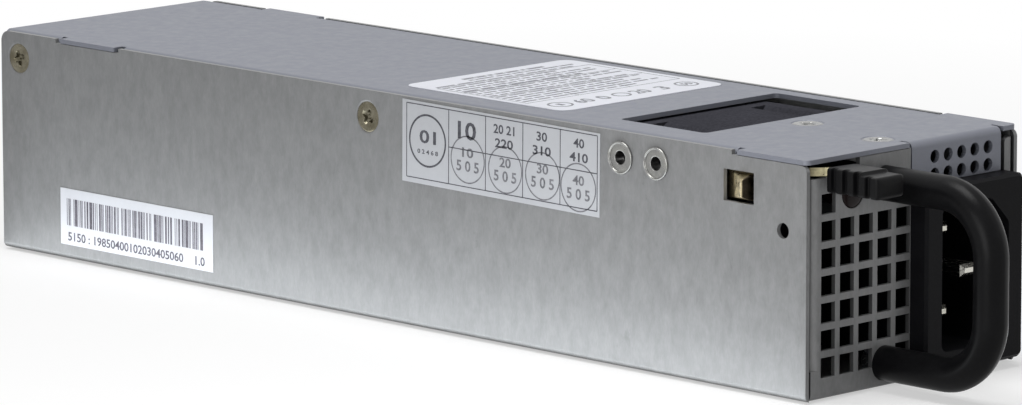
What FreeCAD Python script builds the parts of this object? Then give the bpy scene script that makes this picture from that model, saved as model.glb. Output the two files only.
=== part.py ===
import FreeCAD, Part
import math
import os

from FreeCAD import Vector

# Hot swap server power supply, one rack unit high. Millimetres, +Z up.
#
# The source is written in bay coordinates: x from the outer face of the left wall, y from the
# outer face of the front panel, z from the underside of the housing. The handle, the AC inlet and
# the thumb tab stand in front of the front panel, at negative y. Just before a sub-part is written
# it is moved so that the origin lies in the middle of the housing's underside.

# ---------------------------------------------------------------- housing
WIDTH = 51.5
LENGTH = 198.5
HEIGHT = 40.0
SHEET = 0.8
BEND = 1.2                    # outer radius of a fold
COVER_GAP = 0.15              # side play between the cover's flanges and the walls
EDGE_DROP = 0.1               # the wall's top edge under the cover's top face
LAP_GAP = 0.1                 # play under a cover tab that lies on a wall

FRONT_TAB = 15.5              # cover tab over the walls at the front
REAR_TAB_START = LENGTH - 30.5
REAR_TAB_END = LENGTH - 16.0
BEND_RELIEF = 1.2             # slot at each end of a cover flange

PANEL_PLAY = 0.1              # front panel's return flanges against the walls
PANEL_CORNER = 2.2            # outer radius of the panel's upright corners
PANEL_CORNER_RIGHT = 1.2
RETURN_DEPTH = 3.4
RETURN_TOP_LEFT = 30.0
STRIP_DROP = 1.1              # right strip of the panel ends this far under the cover
STRIP_CORNER = 0.8
TAB_CORNER = 1.2              # cover's front corners
WALL_CORNER_FRONT = 1.2       # rounded top corners of the walls
WALL_CORNER_REAR = 1.9
COVER_FLANGE_START = 60.0     # screwed side flanges of the cover
COVER_FLANGE_DROP = 8.8       # cover's top to the flanges' lower edge
COVER_REAR_GAP = 1.6
RELIEF_RUN = 0.4              # a notch runs this far past its fold
CORNER_RELIEF = 2.8           # height of the notch below each upright corner
CORNER_INSET = 1.2            # where the folded front starts beside each wall
LAP_STRIP = 6.0               # floor strip that joins a folded end to the tray

# ---------------------------------------------------------------- grille and openings
FLANGE_X1 = WIDTH - 4.1       # vent flange folded down from the cover
FLANGE_X0 = FLANGE_X1 - 22.0
FLANGE_Z = HEIGHT - 7.3
VENT_HOLE = 2.2
VENT_X = FLANGE_X0 + 5.6
VENT_PITCH = 3.3
VENT_COLUMNS = 5
VENT_ROWS = (FLANGE_Z + 1.3, FLANGE_Z + 4.3)
VENT_SIDES = 16

NOTCH_END = 12.7              # latch notch at the top left of the front panel
NOTCH_Z = HEIGHT - 3.3
PANEL_SPLIT = FLANGE_X0 - 0.3     # panel's plate ends here beside the cover's vent flange
SEAT_FLANGE_END = FLANGE_X0 + 2.2     # flange on which the cover is screwed down
SEAT_FLANGE_DEPTH = 11.0

INLET_FACE_W = 24.2           # AC inlet, IEC 60320 C14
INLET_FACE_X1 = WIDTH - 2.1
INLET_X = INLET_FACE_X1 - INLET_FACE_W / 2
INLET_FACE_Z0 = 1.4
INLET_FACE_H = FLANGE_Z - 0.1 - INLET_FACE_Z0
INLET_Z = INLET_FACE_Z0 + INLET_FACE_H / 2
INLET_BODY_W = INLET_FACE_W - 2.6
INLET_BODY_H = INLET_FACE_H - 2.6
INLET_PLAY = 0.2
INLET_OPENING_X0 = INLET_X - INLET_BODY_W / 2 - INLET_PLAY
INLET_OPENING_X1 = INLET_X + INLET_BODY_W / 2 + INLET_PLAY

GRILLE_X = 3.6
GRILLE_Z = 3.64
GRILLE_COLUMNS = 5
GRILLE_ROWS = 7
GRILLE_BAR = 1.15
GRILLE_PITCH_X = (INLET_OPENING_X0 - 0.15 - GRILLE_X) / GRILLE_COLUMNS
GRILLE_PITCH_Z = (NOTCH_Z - 1.49 - GRILLE_Z) / GRILLE_ROWS

FAN_SIZE = HEIGHT - 2 * SHEET - 0.4
FAN_SIDE = 5.15               # fan frame to the right wall's outer face, room for the leads
FAN_CENTRE_X = WIDTH - FAN_SIDE - FAN_SIZE / 2
FAN_WINDOW_WIDTH = 38.3
FAN_WINDOW_X = FAN_CENTRE_X - FAN_WINDOW_WIDTH / 2
FAN_WINDOW_Y = 30.5
FAN_WINDOW_DEPTH = 19.8
WINDOW_CORNER = 1.0

WALL_HOLE_Y = 5.2
WALL_HOLE_Z = 27.9
WALL_HOLE = 2.65

REAR_VENT = 4.4               # across the flats of a hexagonal vent
REAR_VENT_PITCH = 5.4
REAR_VENT_ROWS = 4
REAR_VENT_COLUMNS = 8
REAR_VENT_Z = 17.0

# ---------------------------------------------------------------- screws
SCREW_HEAD = 5.7
SCREW_SHANK = 3.0
SCREW_HEAD_DEPTH = 0.75
SCREW_LENGTH = 4.6
SCREW_FIT = 0.05              # radial play between a shank and its thread
SINK_PLAY = 0.1               # radial play round a countersunk head
COLLAR_DEPTH = 0.9            # extruded collar that carries a thread in sheet
COLLAR_WALL = 0.8
SIDE_SCREW_Z = HEIGHT - 4.8
SIDE_SCREW_Y = (LENGTH - 95.7, LENGTH - 4.7)
TOP_SCREWS = ((SEAT_FLANGE_END - 3.6, 6.3), (FAN_CENTRE_X + 0.15, 25.3))
PAN_HEAD = 5.4
PAN_HEIGHT = 1.8
HEAD_ROOM = 0.3               # clearance of a cut-out round a pan head

# ---------------------------------------------------------------- handle
HANDLE_BAR = 5.9
HANDLE_GAP = 3.35             # bar to the inlet's face
HANDLE_X = INLET_FACE_X1 - INLET_FACE_W - HANDLE_GAP - HANDLE_BAR / 2
HANDLE_LOW_Z = 4.1
HANDLE_HIGH_Z = HEIGHT - 5.9
HANDLE_REACH = 23.2           # front panel to the bar's centre line
HANDLE_BEND = 10.0
HANDLE_THREAD_DEPTH = 9.0
HANDLE_SCREW_SHORT = 1.5      # screw ends this far from the thread's bottom

# ---------------------------------------------------------------- AC inlet
INLET_PROUD = 3.6
INLET_FACE_R = 1.2
INLET_BODY_R = 1.0
INLET_RIM = 0.5
INLET_BODY_DEPTH = 21.5
RECESS_W = INLET_BODY_W - 5.1
RECESS_H = INLET_BODY_H - 4.1
RECESS_FLOOR = 13.9
RECESS_CHAMFER = 4.4
RECESS_CORNER = 1.5
BLADE_W = 4.0
BLADE_T = 2.0
BLADE_SPACING = RECESS_H - 10.5
BLADE_OFFSET = 2.0
POWER_BLADE_TIP = 2.3
EARTH_BLADE_TIP = -0.7
BLADE_TIP_CHAMFER = 0.6
TAIL_W = 3.2
TAIL_T = 0.8
TAIL_END = 27.0
SNAP_ARM_W = 8.0
SNAP_ARM_T = 0.45
SNAP_ARM_LENGTH = 4.3
SNAP_ARM_ROOT = 0.2

# ---------------------------------------------------------------- status light
LED_X = HANDLE_X - 7.8
LED_Z = HEIGHT - 6.5
LED_LENS = 5.0
LED_PLAY = 0.15
LED_PROUD = 0.4
LED_FLANGE = 6.0
LED_COLLAR = 1.2
LED_BODY_DEPTH = 7.0
LED_BOARD_T = 1.0
LED_BOARD_SIDE = 3.6          # board beside and below the light
LED_BOARD_DROP = 5.0
LED_BOARD_REACH = 3.4         # board under the seat flange

# ---------------------------------------------------------------- release latch
LEAF_T = 0.6
LEAF_Z0 = HEIGHT - 8.3
LEAF_Z1 = HEIGHT - 1.5
LEAF_CORNER = 2.0
FLEX_Y = 31.4                 # line on which the leaf flexes
FLEX_SLIT = 0.3
ANCHOR_END = 46.4
ARM_WALL_GAP = 0.35           # moving leaf against the wall's inner face
ARM_FRONT = 4.4               # full height of the leaf ends here, behind the panel
NECK_Z0 = HEIGHT - 2.9
NECK_BEND_Y = 2.4
NECK_END_Y = -6.0
NECK_END_X = 5.4
LATCH_WINDOW_Y = (11.7, 18.5)
LATCH_WINDOW_Z = (HEIGHT - 8.7, HEIGHT - 3.4)
CATCH_RIDGE_X = -1.6
CATCH_RIDGE_Y = 13.1
CATCH_Y = (12.4, 17.7)
CATCH_Z = (HEIGHT - 8.1, HEIGHT - 3.9)
CATCH_BEVEL = 0.8
CATCH_TRIM = 0.2
CATCH_SINK = 0.3              # catch runs this deep into the leaf
RIVET_Y = (33.8, 42.0)
RIVET_Z = HEIGHT - 4.5
RIVET_HEAD = 5.6
RIVET_PROUD = 0.45
RIVET_FLARE = 4.4
RIVET_SHANK = 3.2
RIVET_BORE = 2.3
RIVET_PLAY = 0.05
TAB_X0 = 3.0
TAB_X1 = 9.6
TAB_Y0 = -12.7
TAB_Y1 = -0.8
TAB_SKEW = 1.0                # rear face runs forward by this much, clear of the panel when pressed
TAB_Z0 = HEIGHT - 5.4
TAB_Z1 = HEIGHT - 1.2
TAB_BEVEL = 0.6
TAB_GROOVES = 4
TAB_GROOVE_START = 1.7        # front end to the first groove
TAB_GROOVE_PITCH = 2.5
TAB_GROOVE_DEPTH = 0.7
TAB_GROOVE_W = 1.0
TAB_STEP = 0.5                # front of the tab's top lies lower
TAB_STEP_Y = -9.0
TAB_SLOT_PLAY = 0.05

# ---------------------------------------------------------------- fan
FAN_DEPTH = 20.0
FAN_Y = 31.0
FAN_BORE = FAN_SIZE - 2.4
FAN_FLANGE = 3.2
FAN_CORNER = 2.5
FAN_HOLE_PITCH = FAN_SIZE - 6.0
FAN_HOLE = 3.4
FAN_POST = 3.6                # radius of the corner posts round the screw holes
FAN_WAIST = FAN_SIZE + 5.0    # round waist between the flanges, flat where it meets the square
FAN_HUB = 17.0
FAN_TIP_GAP = 0.5
FAN_BLADES = 7
FAN_BLADE_T = 1.1
FAN_BLADE_LEAN = 38.0
FAN_BLADE_CAMBER = 1.6
BLADE_INSET = 0.8
BLADE_ROOT = 0.5
CUP_FACE = 1.4
CUP_WALL = 1.0
MAGNET_T = 0.9
MAGNET_DEPTH = 10.2
FAN_ROTOR_START = 3.2
FAN_ROTOR_END = 15.8
FAN_MOTOR_BASE = 2.0
FAN_STRUTS = 4
FAN_STRUT_W = 2.2
FAN_STRUT_ROOT = 0.4          # strut's end inside the duct's wall
FAN_SCREW_LENGTH = 8.0
SHAFT = 2.0
BEARING_OUTER = 4.6
BEARING_START = 6.2
BEARING_CAP = 0.8
NECK_WALL = 0.8
STATOR_START = 7.4
STATOR_DEPTH = 7.4
STATOR_POLES = 4
STATOR_SLEEVE = 0.9
POLE_W = 3.2
POLE_INSET = 1.4
POLE_TIP = 0.3                # flat tips stay inside the stator's round
STATOR_GAP = 0.35
BEARING_FIT = 0.04
BEARING_END = 0.5             # solid end of the sleeve
BRACKET_REACH = 10.0
BRACKET_EAR_Z = 6.6
BRACKET_PLAY = 0.1

# ---------------------------------------------------------------- boards
BOARD_T = 1.6
BOARD_Z = 6.2
BOARD_X0 = 2.4
BOARD_X1 = WIDTH - 2.4
BOARD_Y0 = 55.0
BOARD_REAR_GAP = 0.6
TONGUE_X0 = 12.0
TONGUE_X1 = WIDTH - 11.5
TONGUE_PROUD = 8.0
TONGUE_SLOT_PLAY = 1.5
CONTACT_T = 0.1
CONTACT_W = 1.5
CONTACT_PITCH = 2.0
CONTACT_LENGTH = 6.5
CONTACT_EDGE = 0.8            # tongue's front edge to the contacts
TONGUE_BEVEL = 0.4
STANDOFF = 5.0                # across the flats of a hexagonal standoff
STANDOFF_X = (6.4, WIDTH - 7.1)
STANDOFF_Y = (60.0, LENGTH - 8.5)
STANDOFF_BASE = 0.5           # solid foot under the thread
BOARD_SCREW_LENGTH = 5.6
BOARD_HOLE = 3.4
SHEET_FILM = 0.4
FILM_LIFT = 0.1
FILM_MARGIN = 0.6             # film past the board's long edges
FILM_FRONT = 2.0
FILM_PLAY = 0.3               # round a standoff

# ---------------------------------------------------------------- parts on the main board
# Footprints are (x0, x1, y0, y1); every piece stands on the board's top face.
TERMINAL_BLOCK = (WIDTH - 12.0, WIDTH - 5.3, 63.4, 79.0)
TERMINAL_HEIGHT = 9.6
TERMINAL_Y = (76.2, 66.2, 71.2)      # where the line, neutral and earth leads enter
TERMINAL_Z = 12.5
TERMINAL_ENTRY = 2.8
TERMINAL_DEPTH = 4.0
LEAD_R = 1.05
LEAD_RUN_X = WIDTH - 3.05
LEAD_TURN_Y = 25.6
LEAD_INSERT = 1.2

FUSE_X = WIDTH - 20.0
FUSE_Y = (58.0, 80.0)
FUSE_CAP_R = 3.0
FUSE_CAP_LENGTH = 4.0
FUSE_BODY_R = 2.6

CHOKE_BASE = (9.9, WIDTH - 24.6, 58.6, 77.4)
CHOKE_CENTRE = ((CHOKE_BASE[0] + CHOKE_BASE[1]) / 2, 68.0, 21.4)
CHOKE_RING = (10.6, 6.2, 8.0)        # outer radius, inner radius, height
CHOKE_WIRE = 1.1
CHOKE_TURNS = 7
CHOKE_SPAN = 110.0
BOOST_CENTRE = (16.0, 107.0, 22.3)
BOOST_RING = (11.4, 6.6, 10.0)
BOOST_WIRE = 1.2
BOOST_TURNS = 13
BOOST_SPAN = 290.0
BOOST_BASE = (9.0, 23.0, 96.0, 118.0)
CARRIER_T = 1.5
CARRIER_BLOCK = 2.4                  # width of a carrier's end blocks
CARRIER_RISE = 2.0
WIRE_PLAY = 0.2                      # winding turns stand this far off their core

X_CAPACITOR = (WIDTH - 25.5, WIDTH - 3.5, 80.4, 88.0)
X_CAPACITOR_HEIGHT = 15.0
DISC_X = (WIDTH - 20.0, WIDTH - 10.0)
DISC_Y = 90.8
DISC_R = 4.4
DISC_T = 2.4
DISC_LIFT = 0.8
DISC_LEADS = 2.5
RELAY = (5.6, WIDTH - 28.9, 80.4, 93.0)
RELAY_HEIGHT = 14.0

SINK_X = WIDTH - 11.5
SINK_T = 2.4
SINK_Y = (98.0, LENGTH - 44.5)
CONTROL_X = SINK_X - 9.6

BULK_X0 = 5.1
BULK_R = (CONTROL_X - 0.3 - BULK_X0) / 2
BULK_X = BULK_X0 + BULK_R
BULK_Y = (124.0, LENGTH - 42.5)
BULK_LEADS = 4.0                     # leads on each side of the can's axis
BULK_LEAD_OUT = 1.5                  # leads leave the can's front face, then turn down
LEAD_W = 0.8                         # square leads of the larger components

SINK_HEIGHT = HEIGHT - 16.0
FIN_DEPTH = 5.4
FIN_T = 1.2
FIN_PITCH = 4.4
FIN_START = 5.3
SWITCH_STEP = 14.0
SWITCH_COUNT = int((SINK_Y[1] - SINK_Y[0]) / SWITCH_STEP)
SWITCH_W = 10.0
SWITCH_T = 4.5
SWITCH_Z = (3.3, 18.3)
SWITCH_PITCH = SWITCH_W * 0.254
SWITCH_START = 6.0                   # sink's front end to the first switch

CORE = (6.0, WIDTH - 20.5, LENGTH - 32.5, LENGTH - 20.5)
CORE_Z = (2.4, 24.4)
CORE_LEG = 3.4
CORE_WINDOW = 5.2
CORE_WINDOWS = ((CORE[0] + CORE_LEG, CORE[0] + CORE_LEG + CORE_WINDOW),
                (CORE[1] - CORE_LEG - CORE_WINDOW, CORE[1] - CORE_LEG))
CORE_WALL = 3.6
COIL_BEVEL = 2.5
COIL_END = 5.2                       # coil beyond each face of the core
RAIL = (CORE[0] + 2.0, CORE[1] - 3.0)
RAIL_W = 3.2
RAIL_HEIGHT = 6.4
RAIL_PROUD = 2.0                     # rails beyond the coil's ends
CORE_PLAY = 0.2

STANDBY_X = (WIDTH - 15.5, WIDTH - 3.5)
STANDBY_Y = LENGTH - 33.0
STANDBY_BASE = (STANDBY_X[0], STANDBY_X[1], STANDBY_Y - 6.9, STANDBY_Y + 6.9)
STANDBY_CORE = (STANDBY_X[0] + 1.0, STANDBY_X[1] - 1.0, STANDBY_Y - 3.5, STANDBY_Y + 3.5)
STANDBY_COIL = (STANDBY_X[0] + 0.6, STANDBY_X[1] - 0.6, STANDBY_Y - 5.3, STANDBY_Y + 5.3)
STANDBY_BASE_HEIGHT = 2.0
STANDBY_COIL_HEIGHT = 10.0
STANDBY_HEIGHT = 12.0
OUTPUT_CAP_XY = ((WIDTH - 14.5, LENGTH - 18.5), (WIDTH - 5.5, LENGTH - 18.5),
                 (WIDTH - 14.7, LENGTH - 7.9))
OUTPUT_CAP_R = 4.0
OUTPUT_CAP_HEIGHT = 18.0

CONTROL_BOARD = (CONTROL_X, CONTROL_X + 1.6, 96.0, LENGTH - 48.5)
CONTROL_HEIGHT = 23.0
CONTROL_HEADER = (CONTROL_X + 1.6, CONTROL_X + 4.0, 97.0, 122.4)
HEADER_HEIGHT = 2.4
CHIP_Y = (104.0, 122.0)
CHIP = 7.0
CHIP_T = 1.2
CHIP_Z = 8.0
FAN_PLUG = (WIDTH - 16.1, WIDTH - 10.5, 55.4, 62.8)
FAN_PLUG_HEIGHT = 7.0

# ---------------------------------------------------------------- labels
LABEL_T = 0.1
RATING_LABEL = (7.1, WIDTH - 4.4, 62.4, 101.4)
RATING_LABEL_R = 2.5
TEST_LABEL = (46.8, 94.0, HEIGHT - 15.0, HEIGHT - 0.8)
TEST_LABEL_TILT = 0.6
SERIAL_LABEL = (LENGTH - 56.3, LENGTH - 15.8, 2.75, 13.0)

SMALL_SIDES = 12              # small round holes and shanks are prisms with this many sides
HEAD_SIDES = 24               # and screw heads, lens and rivet heads with this many

X_AXIS = Vector(1, 0, 0)
Y_AXIS = Vector(0, 1, 0)
Z_AXIS = Vector(0, 0, 1)
INNER_LEFT = SHEET
INNER_RIGHT = WIDTH - SHEET
CEILING = HEIGHT - SHEET
WALL_TOP = HEIGHT - EDGE_DROP
LAP_TOP = CEILING - LAP_GAP
BOARD_TOP = BOARD_Z + BOARD_T
FAN_CENTRE_Z = SHEET + FAN_SIZE / 2


# ---------------------------------------------------------------- helpers
def box(x0, x1, y0, y1, z0, z1):
    """A box between two corners."""
    return Part.makeBox(x1 - x0, y1 - y0, z1 - z0, Vector(x0, y0, z0))


def rod(x, y, z, radius, length, axis=Z_AXIS):
    """A cylinder from a point along an axis."""
    return Part.makeCylinder(radius, length, Vector(x, y, z), axis)


def polygon_bar(x, y, z, radius, sides, length, axis=Z_AXIS, turn=0.0):
    """A regular prism from a point along an axis, given its corners' radius."""
    corners = [Vector(radius * math.cos(angle), radius * math.sin(angle), 0)
               for angle in (math.radians(turn + 360.0 * i / sides) for i in range(sides))]
    face = Part.Face(Part.makePolygon(corners + corners[:1]))
    bar = face.extrude(Vector(0, 0, length))
    bar.Placement = FreeCAD.Placement(Vector(x, y, z), FreeCAD.Rotation(Z_AXIS, axis))
    return bar


def hexagon(x, y, z, flats, length, axis=Z_AXIS):
    """A hexagonal prism with two corners up, given the distance across its flats."""
    return polygon_bar(x, y, z, flats / math.sqrt(3), 6, length, axis, 30.0)


def small_rod(x, y, z, radius, length, axis=Z_AXIS, sides=SMALL_SIDES):
    """A small round piece with few faces, whose flats lie at the radius."""
    return polygon_bar(x, y, z, radius / math.cos(math.pi / sides), sides, length, axis)


def small_cone(origin, axis, radius0, radius1, length, sides=HEAD_SIDES):
    """A small cone with few faces, between two radii."""
    rings = [[Vector(radius * math.cos(angle), radius * math.sin(angle), height)
              for angle in (2 * math.pi * i / sides for i in range(sides + 1))]
             for radius, height in ((radius0, 0), (radius1, length))]
    low, high = rings
    faces = [Part.Face(Part.makePolygon(ring)) for ring in rings]
    for i in range(sides):
        faces.append(Part.Face(Part.makePolygon([low[i], low[i + 1], high[i + 1], high[i], low[i]])))
    cone = Part.makeSolid(Part.makeShell(faces))
    cone.Placement = FreeCAD.Placement(origin, FreeCAD.Rotation(Z_AXIS, axis))
    return cone


def pin(x, y, z, width, length):
    """A square upright pin."""
    return box(x - width / 2, x + width / 2, y - width / 2, y + width / 2, z, z + length)


def straight_edges(shape, pick):
    """The straight edges that pick() accepts, given an edge's direction and middle."""
    edges = []
    for edge in shape.Edges:
        if edge.Curve.TypeId != "Part::GeomLine":
            continue
        ends = [vertex.Point for vertex in edge.Vertexes]
        along = ends[1] - ends[0]
        middle = (ends[0] + ends[1]) * 0.5
        if pick(along, middle):
            edges.append(edge)
    return edges


def rounded(shape, radius, pick):
    """Fillets the straight edges that pick() accepts."""
    return shape.makeFillet(radius, straight_edges(shape, pick))


def bevelled(shape, size, pick):
    """Chamfers the straight edges that pick() accepts."""
    return shape.makeChamfer(size, straight_edges(shape, pick))


def parallel(along, axis):
    """True when a direction runs along an axis."""
    return along.cross(axis).Length < 1e-6


def joined(shapes):
    """One solid out of several that touch."""
    return shapes[0].multiFuse(shapes[1:]).removeSplitter()


def group(shapes):
    """Several separate solids in one node."""
    return Part.makeCompound(shapes)


def prism(points, direction):
    """A closed outline swept along a vector."""
    outline = [Vector(*point) for point in points]
    face = Part.Face(Part.makePolygon(outline + outline[:1]))
    return face.extrude(direction)


def mirrored_x(shape):
    """The same piece on the other side of the housing's middle plane."""
    return shape.mirror(Vector(WIDTH / 2, 0, 0), X_AXIS)


def turned(shape, centre, axis, angle):
    """A copy turned about an axis through a point."""
    copy = shape.copy()
    copy.rotate(centre, axis, angle)
    return copy


# ---------------------------------------------------------------- sheet metal
def folded_end(y_face, inward, top):
    """End plate folded up from the floor: plate, fold and a strip of floor."""
    depth = inward * (BEND + LAP_STRIP)
    y0, y1 = sorted((y_face, y_face + depth))
    outer = box(CORNER_INSET, WIDTH - CORNER_INSET, y0, y1, 0, top)
    outer = rounded(
        outer, BEND,
        lambda along, mid: parallel(along, X_AXIS) and abs(mid.y - y_face) < 1e-6 and mid.z < 1e-6)
    y0, y1 = sorted((y_face + inward * SHEET, y_face + 2 * depth))
    inner = box(0, WIDTH, y0, y1, SHEET, HEIGHT)
    inner = rounded(
        inner, BEND - SHEET,
        lambda along, mid: parallel(along, X_AXIS)
        and abs(mid.y - y_face - inward * SHEET) < 1e-6 and mid.z < SHEET + 1e-6)
    return outer.cut(inner)


def make_tray():
    """Floor and side walls of the chassis, open at the top and at both ends."""
    outer = box(0, WIDTH, 0, LENGTH, 0, WALL_TOP)
    outer = rounded(outer, BEND, lambda along, mid: parallel(along, Y_AXIS) and mid.z < 1e-6)
    inner = box(INNER_LEFT, INNER_RIGHT, -1, LENGTH + 1, SHEET, HEIGHT)
    inner = rounded(
        inner, BEND - SHEET,
        lambda along, mid: parallel(along, Y_AXIS) and mid.z < SHEET + 1e-6)
    tray = outer.cut(inner)
    for y0, y1 in ((-1, BEND + RELIEF_RUN), (LENGTH - BEND - RELIEF_RUN, LENGTH + 1)):
        tray = tray.cut(box(SHEET, WIDTH - SHEET, y0, y1, -1, CORNER_RELIEF))
    for y0, y1 in ((-1, FRONT_TAB + BEND_RELIEF),
                   (REAR_TAB_START - BEND_RELIEF, REAR_TAB_END + BEND_RELIEF)):
        tray = tray.cut(box(-1, WIDTH + 1, y0, y1, LAP_TOP, HEIGHT))
    tray = rounded(
        tray, WALL_CORNER_REAR,
        lambda along, mid: parallel(along, X_AXIS) and mid.z > LAP_TOP - 1e-6
        and mid.y > LENGTH - 1e-3)
    return rounded(
        tray, WALL_CORNER_FRONT,
        lambda along, mid: parallel(along, X_AXIS) and mid.z > LAP_TOP - 1e-3 and mid.y < 1e-3)


def make_front_upright():
    """Front plate with its rounded upright corners and the flanges returned beside the walls."""
    x0 = INNER_LEFT + PANEL_PLAY
    x1 = INNER_RIGHT - PANEL_PLAY
    outer = box(x0, x1, 0, RETURN_DEPTH, CORNER_RELIEF, LAP_TOP)
    inner = box(x0 + SHEET, x1 - SHEET, SHEET, 2 * RETURN_DEPTH, 0, HEIGHT)
    for x, radius in ((x0, PANEL_CORNER), (x1, PANEL_CORNER_RIGHT)):
        outer = rounded(
            outer, radius,
            lambda along, mid: parallel(along, Z_AXIS) and mid.y < 1e-6 and abs(mid.x - x) < 1e-6)
        inner = rounded(
            inner, radius - SHEET,
            lambda along, mid: parallel(along, Z_AXIS) and mid.y < SHEET + 1e-6
            and abs(mid.x - x) < SHEET + 1e-6)
    panel = outer.cut(inner)
    return panel.cut(box(0, x0 + 2 * SHEET, SHEET + PANEL_CORNER, HEIGHT, RETURN_TOP_LEFT, HEIGHT))


def make_seat_flange():
    """Flange at the top of the front plate that the cover is screwed to."""
    outer = box(NOTCH_END, PANEL_SPLIT, 0, SEAT_FLANGE_DEPTH, NOTCH_Z, LAP_TOP)
    outer = rounded(
        outer, BEND,
        lambda along, mid: parallel(along, X_AXIS) and mid.y < 1e-6 and mid.z > LAP_TOP - 1e-6)
    inner = box(0, WIDTH, SHEET, SEAT_FLANGE_DEPTH + 1, 0, LAP_TOP - SHEET)
    inner = rounded(
        inner, BEND - SHEET,
        lambda along, mid: parallel(along, X_AXIS) and mid.y < SHEET + 1e-6
        and mid.z > LAP_TOP - SHEET - 1e-6)
    flange = outer.cut(inner)
    wing = box(PANEL_SPLIT - 1, SEAT_FLANGE_END, 2 * SHEET, SEAT_FLANGE_DEPTH,
               LAP_TOP - SHEET, LAP_TOP)
    x, y = TOP_SCREWS[0]
    collar = small_rod(x, y, LAP_TOP - SHEET - COLLAR_DEPTH, SCREW_SHANK / 2 + COLLAR_WALL,
                       COLLAR_DEPTH)
    return joined([flange, wing, collar])


def grille_holes():
    """Square vents of the front plate, without those under the light and the handle's feet."""
    width = GRILLE_PITCH_X - GRILLE_BAR
    height = GRILLE_PITCH_Z - GRILLE_BAR
    holes = []
    for row in range(GRILLE_ROWS):
        for column in range(GRILLE_COLUMNS):
            x = GRILLE_X + column * GRILLE_PITCH_X
            z = GRILLE_Z + row * GRILLE_PITCH_Z
            top = row == GRILLE_ROWS - 1
            under_light = top and x + width > LED_X - LED_LENS / 2 and x < HANDLE_X
            clear = abs(x + width / 2 - HANDLE_X) > (width + SCREW_SHANK) / 2
            if not under_light and (clear or 0 < row < GRILLE_ROWS - 1):
                holes.append(box(x, x + width, -1, 2 * SHEET, z, z + height))
    return holes


def make_front_panel():
    """Whole folded front: grille, latch notch, light hole, handle holes and inlet opening."""
    low = folded_end(0, 1, CORNER_RELIEF + PANEL_CORNER)
    panel = joined([make_front_upright(), low])
    panel = panel.cut(box(0, NOTCH_END, -1, 2 * RETURN_DEPTH, NOTCH_Z, HEIGHT))
    inlet_low = INLET_Z - INLET_BODY_H / 2 - INLET_PLAY
    panel = panel.cut(box(INLET_OPENING_X0, INLET_OPENING_X1, -1, 2 * SHEET, inlet_low, HEIGHT))
    panel = panel.cut(box(PANEL_SPLIT, INLET_OPENING_X1, -1, 2 * SHEET, FLANGE_Z - BEND_RELIEF / 3,
                          HEIGHT))
    panel = panel.cut(box(INLET_OPENING_X1 - 1, WIDTH, -1, 2 * RETURN_DEPTH, LAP_TOP - STRIP_DROP,
                          HEIGHT))
    panel = rounded(
        panel, STRIP_CORNER,
        lambda along, mid: parallel(along, Y_AXIS) and abs(mid.x - INLET_OPENING_X1) < 1e-6
        and mid.z > LAP_TOP - STRIP_DROP - 1e-6)
    panel = joined([panel, make_seat_flange()])
    for hole in grille_holes():
        panel = panel.cut(hole)
    panel = panel.cut(small_rod(LED_X, -1, LED_Z, LED_LENS / 2 + LED_PLAY, 2 * SHEET + 1, Y_AXIS,
                                HEAD_SIDES))
    for z in (HANDLE_LOW_Z, HANDLE_HIGH_Z):
        panel = panel.cut(small_rod(HANDLE_X, -1, z, SCREW_SHANK / 2 + SINK_PLAY, 2 * SHEET + 1,
                                    Y_AXIS))
    x, y = TOP_SCREWS[0]
    return panel.cut(small_rod(x, y, 0, SCREW_SHANK / 2 + SCREW_FIT, HEIGHT))


def make_rear_panel():
    """Folded rear end: vents, and the slot that the board's contact tongue passes."""
    panel = folded_end(LENGTH, -1, LAP_TOP)
    y0 = LENGTH - 2 * SHEET
    panel = panel.cut(box(TONGUE_X0 - TONGUE_SLOT_PLAY, TONGUE_X1 + TONGUE_SLOT_PLAY, y0, LENGTH + 1,
                          BOARD_Z - TONGUE_SLOT_PLAY, BOARD_TOP + TONGUE_SLOT_PLAY))
    rise = REAR_VENT_PITCH * math.sqrt(3) / 2
    for row in range(REAR_VENT_ROWS):
        count = REAR_VENT_COLUMNS - row % 2
        start = WIDTH / 2 - (count - 1) * REAR_VENT_PITCH / 2
        for column in range(count):
            x = start + column * REAR_VENT_PITCH
            z = REAR_VENT_Z + row * rise
            panel = panel.cut(hexagon(x, y0, z, REAR_VENT, 3 * SHEET, Y_AXIS))
    return panel


def side_countersinks():
    """Countersunk holes of the left wall's cover screws."""
    cuts = []
    for y in SIDE_SCREW_Y:
        cuts.append(small_cone(Vector(0, y, SIDE_SCREW_Z), X_AXIS, SCREW_HEAD / 2 + SINK_PLAY,
                               SCREW_SHANK / 2 + SINK_PLAY, SHEET))
    return cuts


def make_base_chassis():
    """Chassis folded from one sheet: floor, two walls, front panel and rear panel."""
    chassis = joined([make_tray(), make_front_panel(), make_rear_panel()])
    for cut in side_countersinks():
        chassis = chassis.cut(cut).cut(mirrored_x(cut))
    y0, y1 = LATCH_WINDOW_Y
    z0, z1 = LATCH_WINDOW_Z
    chassis = chassis.cut(box(-1, SHEET, y0, y1, z0, z1))
    for y in RIVET_Y:
        chassis = chassis.cut(small_rod(-1, y, RIVET_Z, RIVET_SHANK / 2 + RIVET_PLAY, SHEET + 1,
                                        X_AXIS))
    chassis = chassis.cut(rod(-1, WALL_HOLE_Y, WALL_HOLE_Z, WALL_HOLE / 2, SHEET + 1, X_AXIS))
    for x in STANDOFF_X:
        for y in STANDOFF_Y:
            chassis = chassis.cut(hexagon(x, y, -1, STANDOFF + 2 * SCREW_FIT, SHEET + 1))
    return chassis


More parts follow.
